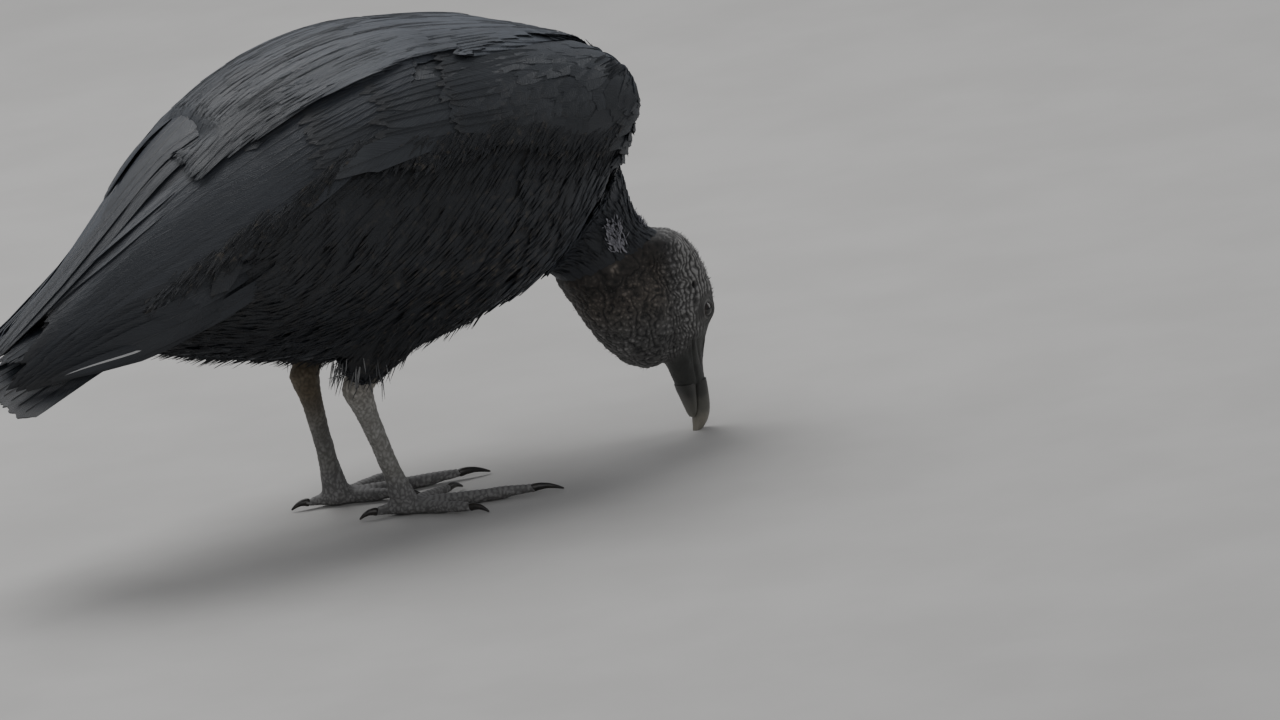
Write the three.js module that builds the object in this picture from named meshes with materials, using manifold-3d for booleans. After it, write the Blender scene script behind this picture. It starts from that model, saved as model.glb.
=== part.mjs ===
// A black vulture (Coragyps atratus) at life size, feeding: it stands on both feet with the bill
// pointing straight down to the floor. Millimetres, +X ahead of the bird, +Y to its left, +Z up.
// Every length below is given in the stance frame, whose origin lies on the floor between the feet.
// The finished group is moved once, at the end, so that its origin is the bottom centre of its box.
import * as THREE from "three";
import { mergeVertices } from "three/addons/utils/BufferGeometryUtils.js";
import Module from "manifold-3d";

const wasm = await Module();
wasm.setup();

// ---------------------------------------------------------------- driving dimensions
const GAP = 0.35; // clearance kept between neighbouring solids
const FLOOR = 0; // height of the flats that the bird stands on
const RIGHT = -1; // sign of Y on each side of the bird
const LEFT = 1;

// The outside of the closed plumage, wings folded, as vertical sections across the body:
// [x, top, height of the widest place, bottom, half width, roundness of the top and of the bottom].
const PLUMAGE = [
  [-252, 127, 126, 124, 30, 1, 2],
  [-233, 139.5, 132, 123, 42, 1, 2],
  [-188, 172.5, 139, 121, 54, 1, 2],
  [-168, 188.5, 143, 120, 60, 1.05, 2],
  [-147, 203, 149, 119, 66, 1.2, 2],
  [-126, 221, 157, 116, 72, 1.5, 2],
  [-100, 241, 166, 112, 79, 1.8, 2.1],
  [-66, 260, 176, 103, 86, 2.0, 2.1],
  [-20, 274, 182, 92, 93, 2.1, 2.1],
  [30, 277, 186, 90, 96, 2.2, 2.1],
  [75, 269, 192, 98, 96, 2.3, 2],
  [110, 260, 202, 105, 94, 2.5, 1.8],
  [135, 250, 209, 116, 92, 2.7, 1.5],
  [165, 245, 214, 130, 89, 2.9, 1.15],
];
const FRONT_START = 135; // where the front begins to round off
const FRONT_END = 166; // the front of the folded wrists
const FRONT_RINGS = [147, 156, 162, 165.4]; // places of the trunk's sections near its front
const FRONT_CENTRE = 212; // height that the front closes on
const FRONT_HEIGHT_POWER = 3.2; // bluntness of the front, seen from the side
const FRONT_WIDTH_POWER = 6; // bluntness of the front, seen from above

// The trunk's own rear end, under the wings: [x, top, widest, bottom, half width].
const RUMP = [
  [-152, 160, 150, 138, 14],
  [-138, 172, 152, 127, 32],
  [-115, 196, 158, 117, 52],
  [-85, 232, 166, 107, 72],
  [-60, 262, 176, 103, 86],
];

// The folded wing: a sheet of feathers lying on the plumage's outline.
// [x, height of its lower edge, distance of its upper edge from the midline, thickness].
const WING = [
  [-250, 126, 0.5, 2.2],
  [-208, 136, 0.5, 3],
  [-154, 139, 0.5, 4.5],
  [-125, 150, 0.5, 6],
  [-100, 172, 0.5, 7],
  [-88, 182, 6, 7],
  [-80, 188, 42, 7.5],
  [-69, 196, 49, 8],
  [-23, 222, 57, 10],
  [13, 221, 62, 11],
  [74, 215, 62, 12],
  [126, 200, 50, 12],
  [160, 199, 42, 8],
];
const WING_FRONT = 160; // the wrist
const WING_REAR = { low: -226, high: -248 }; // tips of the outer primaries, and of the inner feathers
const WING_RELIEF = 6; // how far outside the wing nothing of the trunk is left
const WING_PINCH = 0.3; // how closely the wing's sections follow each other near the wrist, 1 for evenly
// Planes that part the wing: each passes through x at height z and leans by x per unit of height.
const COVERT_CUT = { x: 40, z: 210, lean: -0.55 }; // between the coverts and the secondaries
const PRIMARY_CUT = { x: -172, z: 150, lean: 1.1 }; // between the secondaries and the primaries
// The right wing lies over the left one, and its upper edge stands open towards its tip.
const SLIT = { from: -178, width: 20 };

// Tertials: the innermost feathers, which lie on the others along the midline.
// Rows run from root to tip: [x, inner edge, outer edge] as distances from the midline.
const TERTIALS = {
  left: [
    [-135, 22, 36],
    [-131, 12, 44],
    [-122, 10, 49],
    [-100, 10, 49],
    [-90, 12, 44],
  ],
  right: [
    [-252, 1, 4],
    [-240, 0.6, 7],
    [-190, 0.6, 9],
    [-130, 0.6, 16],
    [-90, 4, 24],
  ],
};
const TERTIAL_THICKNESS = 2;
const TERTIAL_SINK = 0.5; // how far the blade is first built into the wing, before the wing is cut out of it

// Tail of twelve feathers, from tip to root: [x, height at the midline, half width].
const TAIL = [
  [-242, 124, 52],
  [-225, 129, 49],
  [-190, 138, 41],
  [-150, 146, 30],
  [-116, 154, 20],
];
const TAIL_FEATHERS = 12;
const TAIL_DROOP = 7; // how far the outer feathers lie below the middle ones
const TAIL_THICKNESS = 3;
const TAIL_SCALLOP = 2.5; // depth of the notch between two feather tips

// Neck centreline: [x, y, z, half depth fore and aft, half width].
const NECK = [
  [116, 0, 202, 52, 60],
  [140, -3, 167, 42, 45],
  [147, -9, 135, 31.5, 31],
  [161, -12, 108, 31, 28],
  [169, -15, 92, 32, 27],
  [172.5, -17, 78, 31, 26],
  [173, -19, 65, 25, 23],
  [175, -20, 54, 17, 18],
  [178, -21, 45, 7, 9],
];
// Two planes part the neck. Both start at the nape, a place in the head frame, [ahead, up], and run
// to a place on the neck's front, [x, z].
const NECK_CUTS = { nape: [-44, -4], foreneck: [137, 97], throat: [158, 50] };

// Head frame: the origin lies on the skull's axis level with the eyes.
const HEAD = { origin: [197.8, -23.1, 72.2], yaw: 12, forwardLean: 2.5 };
// Head sections: [distance ahead of the eyes, crown, axis, underside, half width].
const SKULL = [
  [-54, -16, -25.5, -33, 7],
  [-51, -8, -21, -34, 13],
  [-47, 0.5, -17, -34, 16],
  [-41, 7, -13, -33, 18.3],
  [-35, 12, -10, -31, 19.2],
  [-29, 14.8, -7, -28, 19.6],
  [-23, 16.6, -4, -25, 19.5],
  [-16, 18.4, -2, -22, 19.5],
  [-9, 19.3, -1, -21, 19.4],
  [-2, 19.6, -1, -20, 19],
  [4, 18.6, -1, -20, 18.2],
  [8, 17, -1.5, -20, 17],
  [12, 14.6, -2.4, -19.5, 15.2],
  [18, 12, -3.5, -19, 13],
  [24, 9.7, -4, -18, 11],
  [30, 7.8, -4.2, -16.3, 9.6],
  [38, 6.8, -3.8, -14, 8.4],
  [46, 7, -2.6, -12, 7.3],
];
const EYE = { ahead: 0.5, up: 5, out: 13.2, radius: 6 };
const BROW = { ahead: 0, up: 9.4, out: 14, radii: [9, 4.2, 3.6] };
// Horn of the bill: [ahead, culmen, cutting edge, half width]; the last rows turn down as the hook.
const BILL_UPPER = [
  [46, 7.1, -3.6, 7.2],
  [54, 7.5, -4, 6.2],
  [60, 7.2, -4.4, 5.4],
  [65, 6, -5.2, 4.4],
  [69, 3.6, -6.3, 3.2],
  [72, 0, -7.2, 2],
  [74, -3.4, -7.6, 1],
];
// Lower half of the bill: [ahead, top edge, underside, half width].
const BILL_LOWER = [
  [46, -4, -11.8, 6.6],
  [52, -4.4, -10, 5.7],
  [58, -4.9, -8.3, 4.6],
  [62, -5.6, -7.3, 3.2],
  [63.5, -6, -6.9, 1.8],
];
const BILL_ROOT = 46; // where skin gives way to horn

// Legs. Each has its own stance; its toes turn out from straight ahead, or in where negative.
const LEGS = {
  left: {
    side: LEFT,
    heel: [-23, 27, 83],
    toeJoint: [-12, 30, 6],
    turns: { inner: -46, middle: -16, outer: 22, hind: 160 },
  },
  right: {
    side: RIGHT,
    heel: [-22, -33, 81],
    toeJoint: [0, -30, 6],
    turns: { inner: -22, middle: 29, outer: 62, hind: 200 },
  },
};
// Feathered thigh, from hip to heel: [share of the way, half depth, half width].
const THIGH_HIP = { x: 14, out: 44, z: 150 };
const THIGH = [
  [0, 42, 27],
  [0.35, 36, 25],
  [0.62, 26, 19],
  [0.84, 15, 12.5],
  [0.97, 9.5, 9],
];
// Bare shank, from heel to toe joint: [share of the way, half depth, half width].
const SHANK = [
  [-0.1, 6, 5.5],
  [-0.03, 9, 7.8],
  [0.08, 8.8, 7.6],
  [0.22, 6.9, 6.2],
  [0.5, 5.9, 5.4],
  [0.78, 6.2, 5.8],
  [0.92, 7.6, 7.2],
  [1.02, 7.4, 7.8],
];
// Toes: length to the claw, joints, half thickness at root and tip, and length of the claw.
const TOES = {
  inner: { length: 41, joints: 2, root: 5, tip: 3.7, claw: 14 },
  middle: { length: 75, joints: 3, root: 5.4, tip: 3.8, claw: 19 },
  outer: { length: 47, joints: 4, root: 5, tip: 3.6, claw: 13 },
  hind: { length: 20, joints: 1, root: 4.4, tip: 3.4, claw: 11 },
};
const TOE_NAMES = Object.keys(TOES);
const TOE_AXIS_HEIGHT = 3.9; // toes are slightly flattened where they press on the floor
const TOE_END = 0.97; // share of the toe after which it narrows to its claw
const PALM = { radius: 9.5, height: 8.4 };
const CLAW = { overlap: 3.5, arch: 1.1, drop: 2.6, root: 2.7, tip: 0.55 };

// How finely the solids are faceted.
const FACETS = {
  wing: { rows: 18, columns: 5 },
  tertials: { rows: 8, columns: 2 },
  trunk: { rows: 12, columns: 9 },
  tail: { rows: 4 },
  neck: { rows: 10, around: 14 },
  skull: { rows: 14, around: 16 },
  bill: { rows: 9, around: 12 },
  jaw: { rows: 5, around: 10 },
  ball: { rows: 7, around: 10 },
  thigh: { rows: 6, around: 12 },
  shank: { rows: 9, around: 10 },
  palm: 10,
  toe: 6,
  claw: { rows: 4, around: 6 },
};

// ---------------------------------------------------------------- materials
const COLOURS = {
  plumage: { color: 0x17181a, roughness: 0.62, metalness: 0 },
  flight: { color: 0x1c1e22, roughness: 0.5, metalness: 0 },
  skin: { color: 0x35332f, roughness: 0.75, metalness: 0 },
  horn: { color: 0x4a473d, roughness: 0.45, metalness: 0 },
  eye: { color: 0x120c08, roughness: 0.08, metalness: 0 },
  leg: { color: 0x8a857a, roughness: 0.8, metalness: 0 },
  claw: { color: 0x1f1d1a, roughness: 0.4, metalness: 0 },
};

// ---------------------------------------------------------------- small helpers
const vec = (a) => new THREE.Vector3(a[0], a[1], a[2]);
const radians = THREE.MathUtils.degToRad;
const clamp = THREE.MathUtils.clamp;

// Reads every column of a table at one value of its first column, along a smooth curve.
function smoothRow(table, at) {
  const last = table.length - 1;
  const a = clamp(at, table[0][0], table[last][0]);
  let i = 0;
  while (i < last - 1 && a > table[i + 1][0]) i++;
  const [p0, p1, p2, p3] = [Math.max(i - 1, 0), i, i + 1, Math.min(i + 2, last)].map((k) => table[k]);
  const span = p2[0] - p1[0];
  const t = (a - p1[0]) / span;
  return p1.map((v, k) => {
    if (k === 0) return a;
    const m1 = p2[0] === p0[0] ? 0 : ((p2[k] - p0[k]) / (p2[0] - p0[0])) * span;
    const m2 = p3[0] === p1[0] ? 0 : ((p3[k] - p1[k]) / (p3[0] - p1[0])) * span;
    const t2 = t * t;
    const t3 = t2 * t;
    return (2 * t3 - 3 * t2 + 1) * v + (t3 - 2 * t2 + t) * m1 + (3 * t2 - 2 * t3) * p2[k] + (t3 - t2) * m2;
  });
}

// Evenly spaced numbers from a to b, both included.
const steps = (a, b, count) => Array.from({ length: count + 1 }, (_, i) => a + ((b - a) * i) / count);

// A closed solid through rings of points. Each end is a flat fan, or a strip across a folded ring.
function loft(rings, folded = false) {
  const n = rings[0].length;
  const points = rings.flat();
  const index = [];
  for (let r = 0; r < rings.length - 1; r++)
    for (let i = 0; i < n; i++) {
      const j = (i + 1) % n;
      const [a, b, c, d] = [r * n + i, r * n + j, (r + 1) * n + i, (r + 1) * n + j];
      index.push(a, c, b, b, c, d);
    }
  for (const [ring, turned] of [[0, false], [rings.length - 1, true]]) {
    const face = (a, b, c) => index.push(...(turned ? [c, b, a] : [a, b, c]));
    const first = ring * n;
    if (folded) {
      for (let i = 0; i < n / 2 - 1; i++) {
        const [a, b, c, d] = [first + i, first + i + 1, first + n - 2 - i, first + n - 1 - i];
        face(a, b, c);
        face(a, c, d);
      }
      continue;
    }
    const centre = rings[ring].reduce((s, p) => s.add(p), new THREE.Vector3()).divideScalar(n);
    const middle = points.push(centre) - 1;
    for (let i = 0; i < n; i++) face(middle, first + i, first + ((i + 1) % n));
  }
  return asSolid(points, index);
}

// Points and triangles as a manifold solid, turned right side out if need be.
function asSolid(points, index) {
  const geometry = new THREE.BufferGeometry();
  geometry.setAttribute("position", new THREE.Float32BufferAttribute(points.flatMap((p) => [p.x, p.y, p.z]), 3));
  geometry.setIndex(index);
  const merged = mergeVertices(geometry, 1e-4);
  const build = (tris) =>
    new wasm.Manifold(new wasm.Mesh({ numProp: 3, vertProperties: merged.attributes.position.array, triVerts: tris }));
  const made = build(new Uint32Array(merged.index.array));
  if (made.volume() > 0) return made;
  const turned = new Uint32Array(merged.index.array);
  for (let i = 0; i < turned.length; i += 3) [turned[i + 1], turned[i + 2]] = [turned[i + 2], turned[i + 1]];
  return build(turned);
}

// A thin solid between an outer sheet and an inner one, both given as functions of (u, v).
function sheetSolid(outer, inner, us, vs) {
  const ring = (u) => [...vs.map((v) => outer(u, v)), ...vs.toReversed().map((v) => inner(u, v))];
  return loft(us.map(ring), true);
}

// Angles once around a ring.
const around = (count) => steps(0, 2 * Math.PI, count).slice(0, count);

// A ring of points around a centre: across and along are the section's two half axes as vectors.
function ellipse(centre, across, along, count) {
  return around(count).map((a) =>
    centre.clone().addScaledVector(across, Math.cos(a)).addScaledVector(along, Math.sin(a)),
  );
}

// A tube through rows of [x, y, z, half depth, half width]; sides lie along the given side vector.
function tube(rows, side, count, grow = 0) {
  const centres = rows.map(vec);
  return loft(
    rows.map((row, i) => {
      const ahead = centres[Math.min(i + 1, rows.length - 1)].clone().sub(centres[Math.max(i - 1, 0)]).normalize();
      const across = side.clone().addScaledVector(ahead, -side.dot(ahead)).normalize();
      const deep = new THREE.Vector3().crossVectors(ahead, across).normalize();
      return ellipse(centres[i], across.multiplyScalar(row[4] + grow), deep.multiplyScalar(row[3] + grow), count);
    }),
  );
}

// Rows of a table read at evenly spaced places along it.
const resample = (table, count) => steps(table[0][0], table[table.length - 1][0], count).map((a) => smoothRow(table, a));

// Rows of centreline points, made closer along a smooth curve.
function refine(rows, count) {
  const numbered = rows.map((row, i) => [i, ...row]);
  return resample(numbered, count).map((row) => row.slice(1));
}

// The side of a solid that a plane's normal points to; the plane passes through a point.
const keepSide = (solid, normal, point) => solid.trimByPlane(normal.toArray(), normal.dot(point));

// Parts a solid with one thin cut: returns what lies ahead of the plane and what lies behind it.
function partAt(solid, normal, point) {
  const n = normal.clone().normalize();
  const back = n.clone().negate();
  const shift = n.clone().multiplyScalar(GAP / 2);
  return [keepSide(solid, n, point.clone().add(shift)), keepSide(solid, back, point.clone().sub(shift))];
}

const union = (solids) => solids.reduce((a, b) => a.add(b));
const onFloor = (solid) => keepSide(solid, new THREE.Vector3(0, 0, 1), new THREE.Vector3(0, 0, FLOOR));

// The largest piece of a solid, which drops slivers that a cut leaves behind.
function mainPiece(solid) {
  return solid.decompose().reduce((a, b) => (b.volume() > a.volume() ? b : a));
}

// ---------------------------------------------------------------- outline of the plumage
// How far the section has shrunk towards the rounded front, 1 behind it and 0 at the very front.
function frontShare(x, power) {
  const t = clamp((x - FRONT_START) / (FRONT_END - FRONT_START), 0, 1);
  return (1 - t ** power) ** (1 / power);
}

function plumageSection(x, inset) {
  const [, top, mid, bottom, half, roundTop, roundBottom] = smoothRow(PLUMAGE, x);
  const share = frontShare(x, FRONT_HEIGHT_POWER);
  const towards = (z) => FRONT_CENTRE + (z - FRONT_CENTRE) * share;
  return {
    top: towards(top) - inset,
    mid: towards(mid),
    bottom: towards(bottom) + inset,
    half: Math.max(half * frontShare(x, FRONT_WIDTH_POWER) - inset, 0.5),
    roundTop,
    roundBottom,
  };
}

// A point of the outline at one side, by its angle above the widest place.
function plumagePoint(x, angle, side, inset = 0) {
  const s = plumageSection(x, inset);
  const up = Math.sin(angle);
  const power = 2 / (up > 0 ? s.roundTop : s.roundBottom);
  const rise = Math.max(up > 0 ? s.top - s.mid : s.mid - s.bottom, 0.3);
  const y = s.half * Math.abs(Math.cos(angle)) ** power;
  return new THREE.Vector3(x, side * y, s.mid + Math.sign(up) * rise * Math.abs(up) ** power);
}

// Angle at which the outline has a given height, or a given distance from the midline.
function angleAtHeight(x, z) {
  const s = plumageSection(x, 0);
  const above = z > s.mid;
  const share = clamp((z - s.mid) / (above ? s.top - s.mid : s.mid - s.bottom), -1, 1);
  const power = (above ? s.roundTop : s.roundBottom) / 2;
  return Math.sign(share) * Math.asin(Math.abs(share) ** power);
}

function angleAtOut(x, y) {
  const s = plumageSection(x, 0);
  return Math.acos(clamp(y / s.half, 0, 1) ** (s.roundTop / 2));
}

// ---------------------------------------------------------------- wings
// A folded wing in one piece, grown by a clearance and by a height above its outside. Where it is
// grown, each edge has one more row of points, so that it stays parallel to the plain wing.
function wholeWing(side, grow = 0, above = grow) {
  const place = (u, v, inner) => {
    const share = clamp(v, 0, 1);
    const rear = THREE.MathUtils.lerp(WING_REAR.low, WING_REAR.high, share);
    const along = clamp(u, 0, 1);
    const x = THREE.MathUtils.lerp(WING_FRONT, rear, along * (WING_PINCH + (1 - WING_PINCH) * along));
    const [, low, out, thick] = smoothRow(WING, x);
    const slit = side === RIGHT ? clamp((SLIT.from - x) / (SLIT.from - WING_REAR.high), 0, 1) * SLIT.width : 0;
    const from = angleAtHeight(x, v < 0 ? low - 2 * grow : low);
    const to = angleAtOut(x, v > 1 ? Math.max(out + slit - 2 * grow, 0.1) : out + slit);
    const p = plumagePoint(x, THREE.MathUtils.lerp(from, to, share), side, inner ? thick + grow : -above);
    p.x += u < 0 ? grow : u > 1 ? -grow : 0;
    return p;
  };
  const rows = (count) => (grow > 0 ? [-1, ...steps(0, 1, count), 2] : steps(0, 1, count));
  const { rows: lengthwise, columns } = FACETS.wing;
  return sheetSolid((u, v) => place(u, v, false), (u, v) => place(u, v, true), rows(lengthwise), rows(columns));
}

function wingPieces(side) {
  const part = (solid, cut) =>
    partAt(solid, new THREE.Vector3(1, 0, cut.lean), new THREE.Vector3(cut.x, 0, cut.z));
  const [coverts, rest] = part(wholeWing(side), COVERT_CUT);
  const [secondaries, primaries] = part(rest, PRIMARY_CUT);
  return { coverts, secondaries, primaries };
}

// The blade of the innermost feathers, laid on the outside of the wing.
function tertialBlade(side) {
  const rows = side === LEFT ? TERTIALS.left : TERTIALS.right;
  const place = (u, v, height) => {
    const x = THREE.MathUtils.lerp(rows[rows.length - 1][0], rows[0][0], u);
    const [, inner, outer] = smoothRow(rows, x);
    const out = THREE.MathUtils.lerp(outer, inner, v);
    return plumagePoint(x, angleAtOut(x, out), side, -height);
  };
  const outside = (u, v) => place(u, v, GAP + TERTIAL_THICKNESS);
  const inside = (u, v) => place(u, v, -TERTIAL_SINK);
  const { rows: lengthwise, columns } = FACETS.tertials;
  return sheetSolid(outside, inside, steps(0, 1, lengthwise), steps(0, 1, columns)).subtract(wholeWing(side, GAP));
}

// ---------------------------------------------------------------- trunk, tail and neck
function trunkSolid() {
  const behind = RUMP.at(-2)[0];
  const { rows, columns } = FACETS.trunk;
  const rings = [];
  for (const x of [...steps(RUMP[0][0], FRONT_START, rows), ...FRONT_RINGS]) {
    const own = x < behind ? smoothRow(RUMP, x) : null;
    const angles = steps(-Math.PI / 2, Math.PI / 2, columns);
    const at = (angle, side) => {
      const p = plumagePoint(x, angle, side);
      if (!own) return p;
      const [, top, mid, bottom, half] = own;
      const up = Math.sin(angle);
      p.y = side * half * Math.abs(Math.cos(angle));
      p.z = mid + up * (up > 0 ? top - mid : mid - bottom);
      return p;
    };
    rings.push([...angles.map((a) => at(a, LEFT)), ...angles.slice(1, -1).reverse().map((a) => at(a, RIGHT))]);
  }
  return loft(rings);
}

function tailSolid(grow = 0) {
  const tip = TAIL[0][0];
  const root = TAIL.at(-1)[0];
  const place = (u, v, drop) => {
    const across = v * 2 - 1;
    const fromShaft = Math.abs(((v * TAIL_FEATHERS) % 1) - 0.5) * 2;
    const x = THREE.MathUtils.lerp(root, tip, u) + (u === 1 ? TAIL_SCALLOP * fromShaft ** 2 : 0);
    const [, z, half] = smoothRow(TAIL, x);
    return new THREE.Vector3(x, across * (half + grow), z - TAIL_DROOP * across ** 2 - drop);
  };
  const top = (u, v) => place(u, v, -grow);
  const bottom = (u, v) => place(u, v, TAIL_THICKNESS + grow);
  return sheetSolid(top, bottom, steps(0, 1, FACETS.tail.rows), steps(0, 1, 2 * TAIL_FEATHERS));
}

const headTurn = radians(HEAD.yaw);
const lean = radians(HEAD.forwardLean);
const headAhead = new THREE.Vector3(Math.sin(lean) * Math.cos(headTurn), Math.sin(lean) * Math.sin(headTurn), -Math.cos(lean));
const headLeft = new THREE.Vector3(-Math.sin(headTurn), Math.cos(headTurn), 0);
const headUp = new THREE.Vector3().crossVectors(headAhead, headLeft);

// A point of the head frame in the stance frame.
const inHead = (ahead, up, left) =>
  vec(HEAD.origin).addScaledVector(headAhead, ahead).addScaledVector(headUp, up).addScaledVector(headLeft, left);

// A section of the head or bill: different half heights above and below its axis. Its roundness is 2
// for an ellipse, and more for a squarer outline.
function headRing(ahead, top, axis, bottom, half, count = FACETS.skull.around, roundness = 2) {
  const bend = (c) => Math.sign(c) * Math.abs(c) ** (2 / roundness);
  return around(count).map((a) => {
    const rise = Math.sin(a) > 0 ? top - axis : axis - bottom;
    return inHead(ahead, axis + rise * bend(Math.sin(a)), half * bend(Math.cos(a)));
  });
}

function ball(centre, radii) {
  const sphere = new THREE.SphereGeometry(1, FACETS.ball.around, FACETS.ball.rows);
  const g = mergeVertices(sphere.deleteAttribute("normal").deleteAttribute("uv"));
  const p = g.attributes.position;
  const points = steps(0, p.count - 1, p.count - 1).map((i) => {
    const [a, u, l] = [p.getX(i) * radii[0], p.getY(i) * radii[1], p.getZ(i) * radii[2]];
    return centre.clone().addScaledVector(headAhead, a).addScaledVector(headUp, u).addScaledVector(headLeft, l);
  });
  return asSolid(points, Array.from(g.index.array));
}

function headAndNeck() {
  const neck = tube(refine(NECK, FACETS.neck.rows), new THREE.Vector3(0, 1, 0), FACETS.neck.around);
  const skull = loft(resample(SKULL, FACETS.skull.rows).map((row) => headRing(...row)));
  const brows = [LEFT, RIGHT].map((side) => ball(inHead(BROW.ahead, BROW.up, side * BROW.out), BROW.radii));
  const whole = union([neck, skull, ...brows]);
  const nape = inHead(...NECK_CUTS.nape, 0);
  const acrossCut = ([x, z]) => {
    const front = new THREE.Vector3(x, nape.y, z);
    return new THREE.Vector3(0, 1, 0).cross(front.sub(nape));
  };
  const [lower, bare] = partAt(whole, acrossCut(NECK_CUTS.foreneck), nape);
  const [upper, head] = partAt(bare, acrossCut(NECK_CUTS.throat), nape);
  return { lower, upper, head };
}

// ---------------------------------------------------------------- bill and eyes
const BILL_ROUNDNESS = 2.4;

function hornLoft(table, facets) {
  const rows = refine(table, facets.rows);
  const ring = ([ahead, top, bottom, half]) =>
    headRing(ahead, top, (top + bottom) / 2, bottom, half, facets.around, BILL_ROUNDNESS);
  return loft(rows.map(ring));
}

// ---------------------------------------------------------------- legs
function thighSolid(leg) {
  const heel = vec(leg.heel);
  const hip = new THREE.Vector3(THIGH_HIP.x, leg.side * THIGH_HIP.out, THIGH_HIP.z);
  const rows = resample(THIGH, FACETS.thigh.rows).map(([share, deep, half]) => {
    const p = hip.clone().lerp(heel, share);
    return [...p.toArray(), deep, half];
  });
  return tube(rows, new THREE.Vector3(0, 1, 0), FACETS.thigh.around);
}

function shankSolid(leg) {
  const rows = resample(SHANK, FACETS.shank.rows).map(([share, deep, half]) => {
    const p = vec(leg.heel).lerp(vec(leg.toeJoint), share);
    return [...p.toArray(), deep, half];
  });
  return tube(rows, new THREE.Vector3(0, 1, 0), FACETS.shank.around);
}

// Unit vector along a toe on the floor; positive angles turn it away from the midline.
function toeDirection(leg, name) {
  const a = leg.side * radians(leg.turns[name]);
  return new THREE.Vector3(Math.cos(a), Math.sin(a), 0);
}

// A toe with a swelling at each joint pad, its claw left out.
function toeSolid(leg, name) {
  const toe = TOES[name];
  const along = toeDirection(leg, name);
  const start = vec(leg.toeJoint).setZ(TOE_AXIS_HEIGHT);
  const pads = (s) => 1 + 0.1 * Math.cos(2 * Math.PI * s * toe.joints);
  const rows = steps(0, 1, 2 * toe.joints + 1).map((s) => {
    const p = start.clone().addScaledVector(along, toe.length * s);
    const half = THREE.MathUtils.lerp(toe.root, toe.tip, s) * pads(s) * (s > TOE_END ? 0.8 : 1);
    return [...p.toArray(), half, half];
  });
  return tube(rows, new THREE.Vector3(-along.y, along.x, 0), FACETS.toe);
}

// The pad under the toe joint, from low to high above the floor.
function palmSolid(leg, radii, low, high) {
  const [x, y] = leg.toeJoint;
  const rows = radii.map((r, i) => [x, y, THREE.MathUtils.lerp(low, high, i / (radii.length - 1)), r, r]);
  return tube(rows, new THREE.Vector3(0, 1, 0), FACETS.palm);
}

function footSolid(leg) {
  const palm = palmSolid(leg, [PALM.radius * 0.9, PALM.radius, PALM.radius * 0.85], FLOOR + 0.5, PALM.height);
  return onFloor(union([palm, ...TOE_NAMES.map((name) => toeSolid(leg, name))]));
}

// A claw that arches forward and comes down to just above the floor.
function clawSolid(leg, name, grow = 0) {
  const toe = TOES[name];
  const along = toeDirection(leg, name);
  const side = new THREE.Vector3(-along.y, along.x, 0);
  const start = vec(leg.toeJoint).setZ(TOE_AXIS_HEIGHT).addScaledVector(along, toe.length - CLAW.overlap);
  const rows = steps(0, 1, FACETS.claw.rows).map((s) => {
    const p = start.clone().addScaledVector(along, toe.claw * s);
    p.z += CLAW.arch * Math.sin(Math.PI * s) - CLAW.drop * s ** 2;
    const half = THREE.MathUtils.lerp(CLAW.root, CLAW.tip, s ** 1.3) + grow;
    return [...p.toArray(), half * 1.1, half];
  });
  return tube(rows, side, FACETS.claw.around);
}

// ---------------------------------------------------------------- assembly
const bird = new THREE.Group();

function addNode(name, solid, finish) {
  const m = mainPiece(solid).getMesh();
  const geometry = new THREE.BufferGeometry();
  geometry.setAttribute("position", new THREE.BufferAttribute(new Float32Array(m.vertProperties), 3));
  geometry.setIndex(new THREE.BufferAttribute(new Uint32Array(m.triVerts), 1));
  const mesh = new THREE.Mesh(geometry, new THREE.MeshStandardMaterial(COLOURS[finish]));
  mesh.name = name;
  bird.add(mesh);
}

function addHead() {
  const { lower, upper, head } = headAndNeck();
  const cutters = [LEFT, RIGHT].map((side) =>
    ball(inHead(EYE.ahead, EYE.up, side * EYE.out), Array(3).fill(EYE.radius + GAP)),
  );
  const root = inHead(BILL_ROOT - GAP, 0, 0);
  const behindHorn = keepSide(head, headAhead.clone().negate(), root);
  addNode("head", cutters.reduce((solid, cutter) => solid.subtract(cutter), behindHorn), "skin");
  for (const [name, side] of [["eye_left", LEFT], ["eye_right", RIGHT]])
    addNode(name, ball(inHead(EYE.ahead, EYE.up, side * EYE.out), Array(3).fill(EYE.radius)), "eye");
  addNode("bill_upper", onFloor(hornLoft(BILL_UPPER, FACETS.bill)), "horn");
  addNode("bill_lower", hornLoft(BILL_LOWER, FACETS.jaw), "horn");
  addNode("neck_upper", upper, "skin");
  return lower;
}

function addLegs() {
  const thighs = [];
  for (const [name, leg] of Object.entries(LEGS)) {
    const foot = footSolid(leg);
    const aroundPalm = palmSolid(leg, Array(2).fill(PALM.radius + GAP), FLOOR - 1, PALM.height + GAP);
    const shank = shankSolid(leg);
    thighs.push({ name, thigh: thighSolid(leg).subtract(shank) });
    addNode(`shank_${name}`, shank.subtract(foot.add(aroundPalm)), "leg");
    addNode(`foot_${name}`, TOE_NAMES.reduce((solid, toe) => solid.subtract(clawSolid(leg, toe, GAP)), foot), "leg");
    for (const toe of TOE_NAMES) addNode(`claw_${name}_${toe}`, onFloor(clawSolid(leg, toe)), "claw");
  }
  return thighs;
}

// A solid with its clearance above it.
const raised = (solid) => solid.add(solid.translate([0, 0, GAP]));

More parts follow.
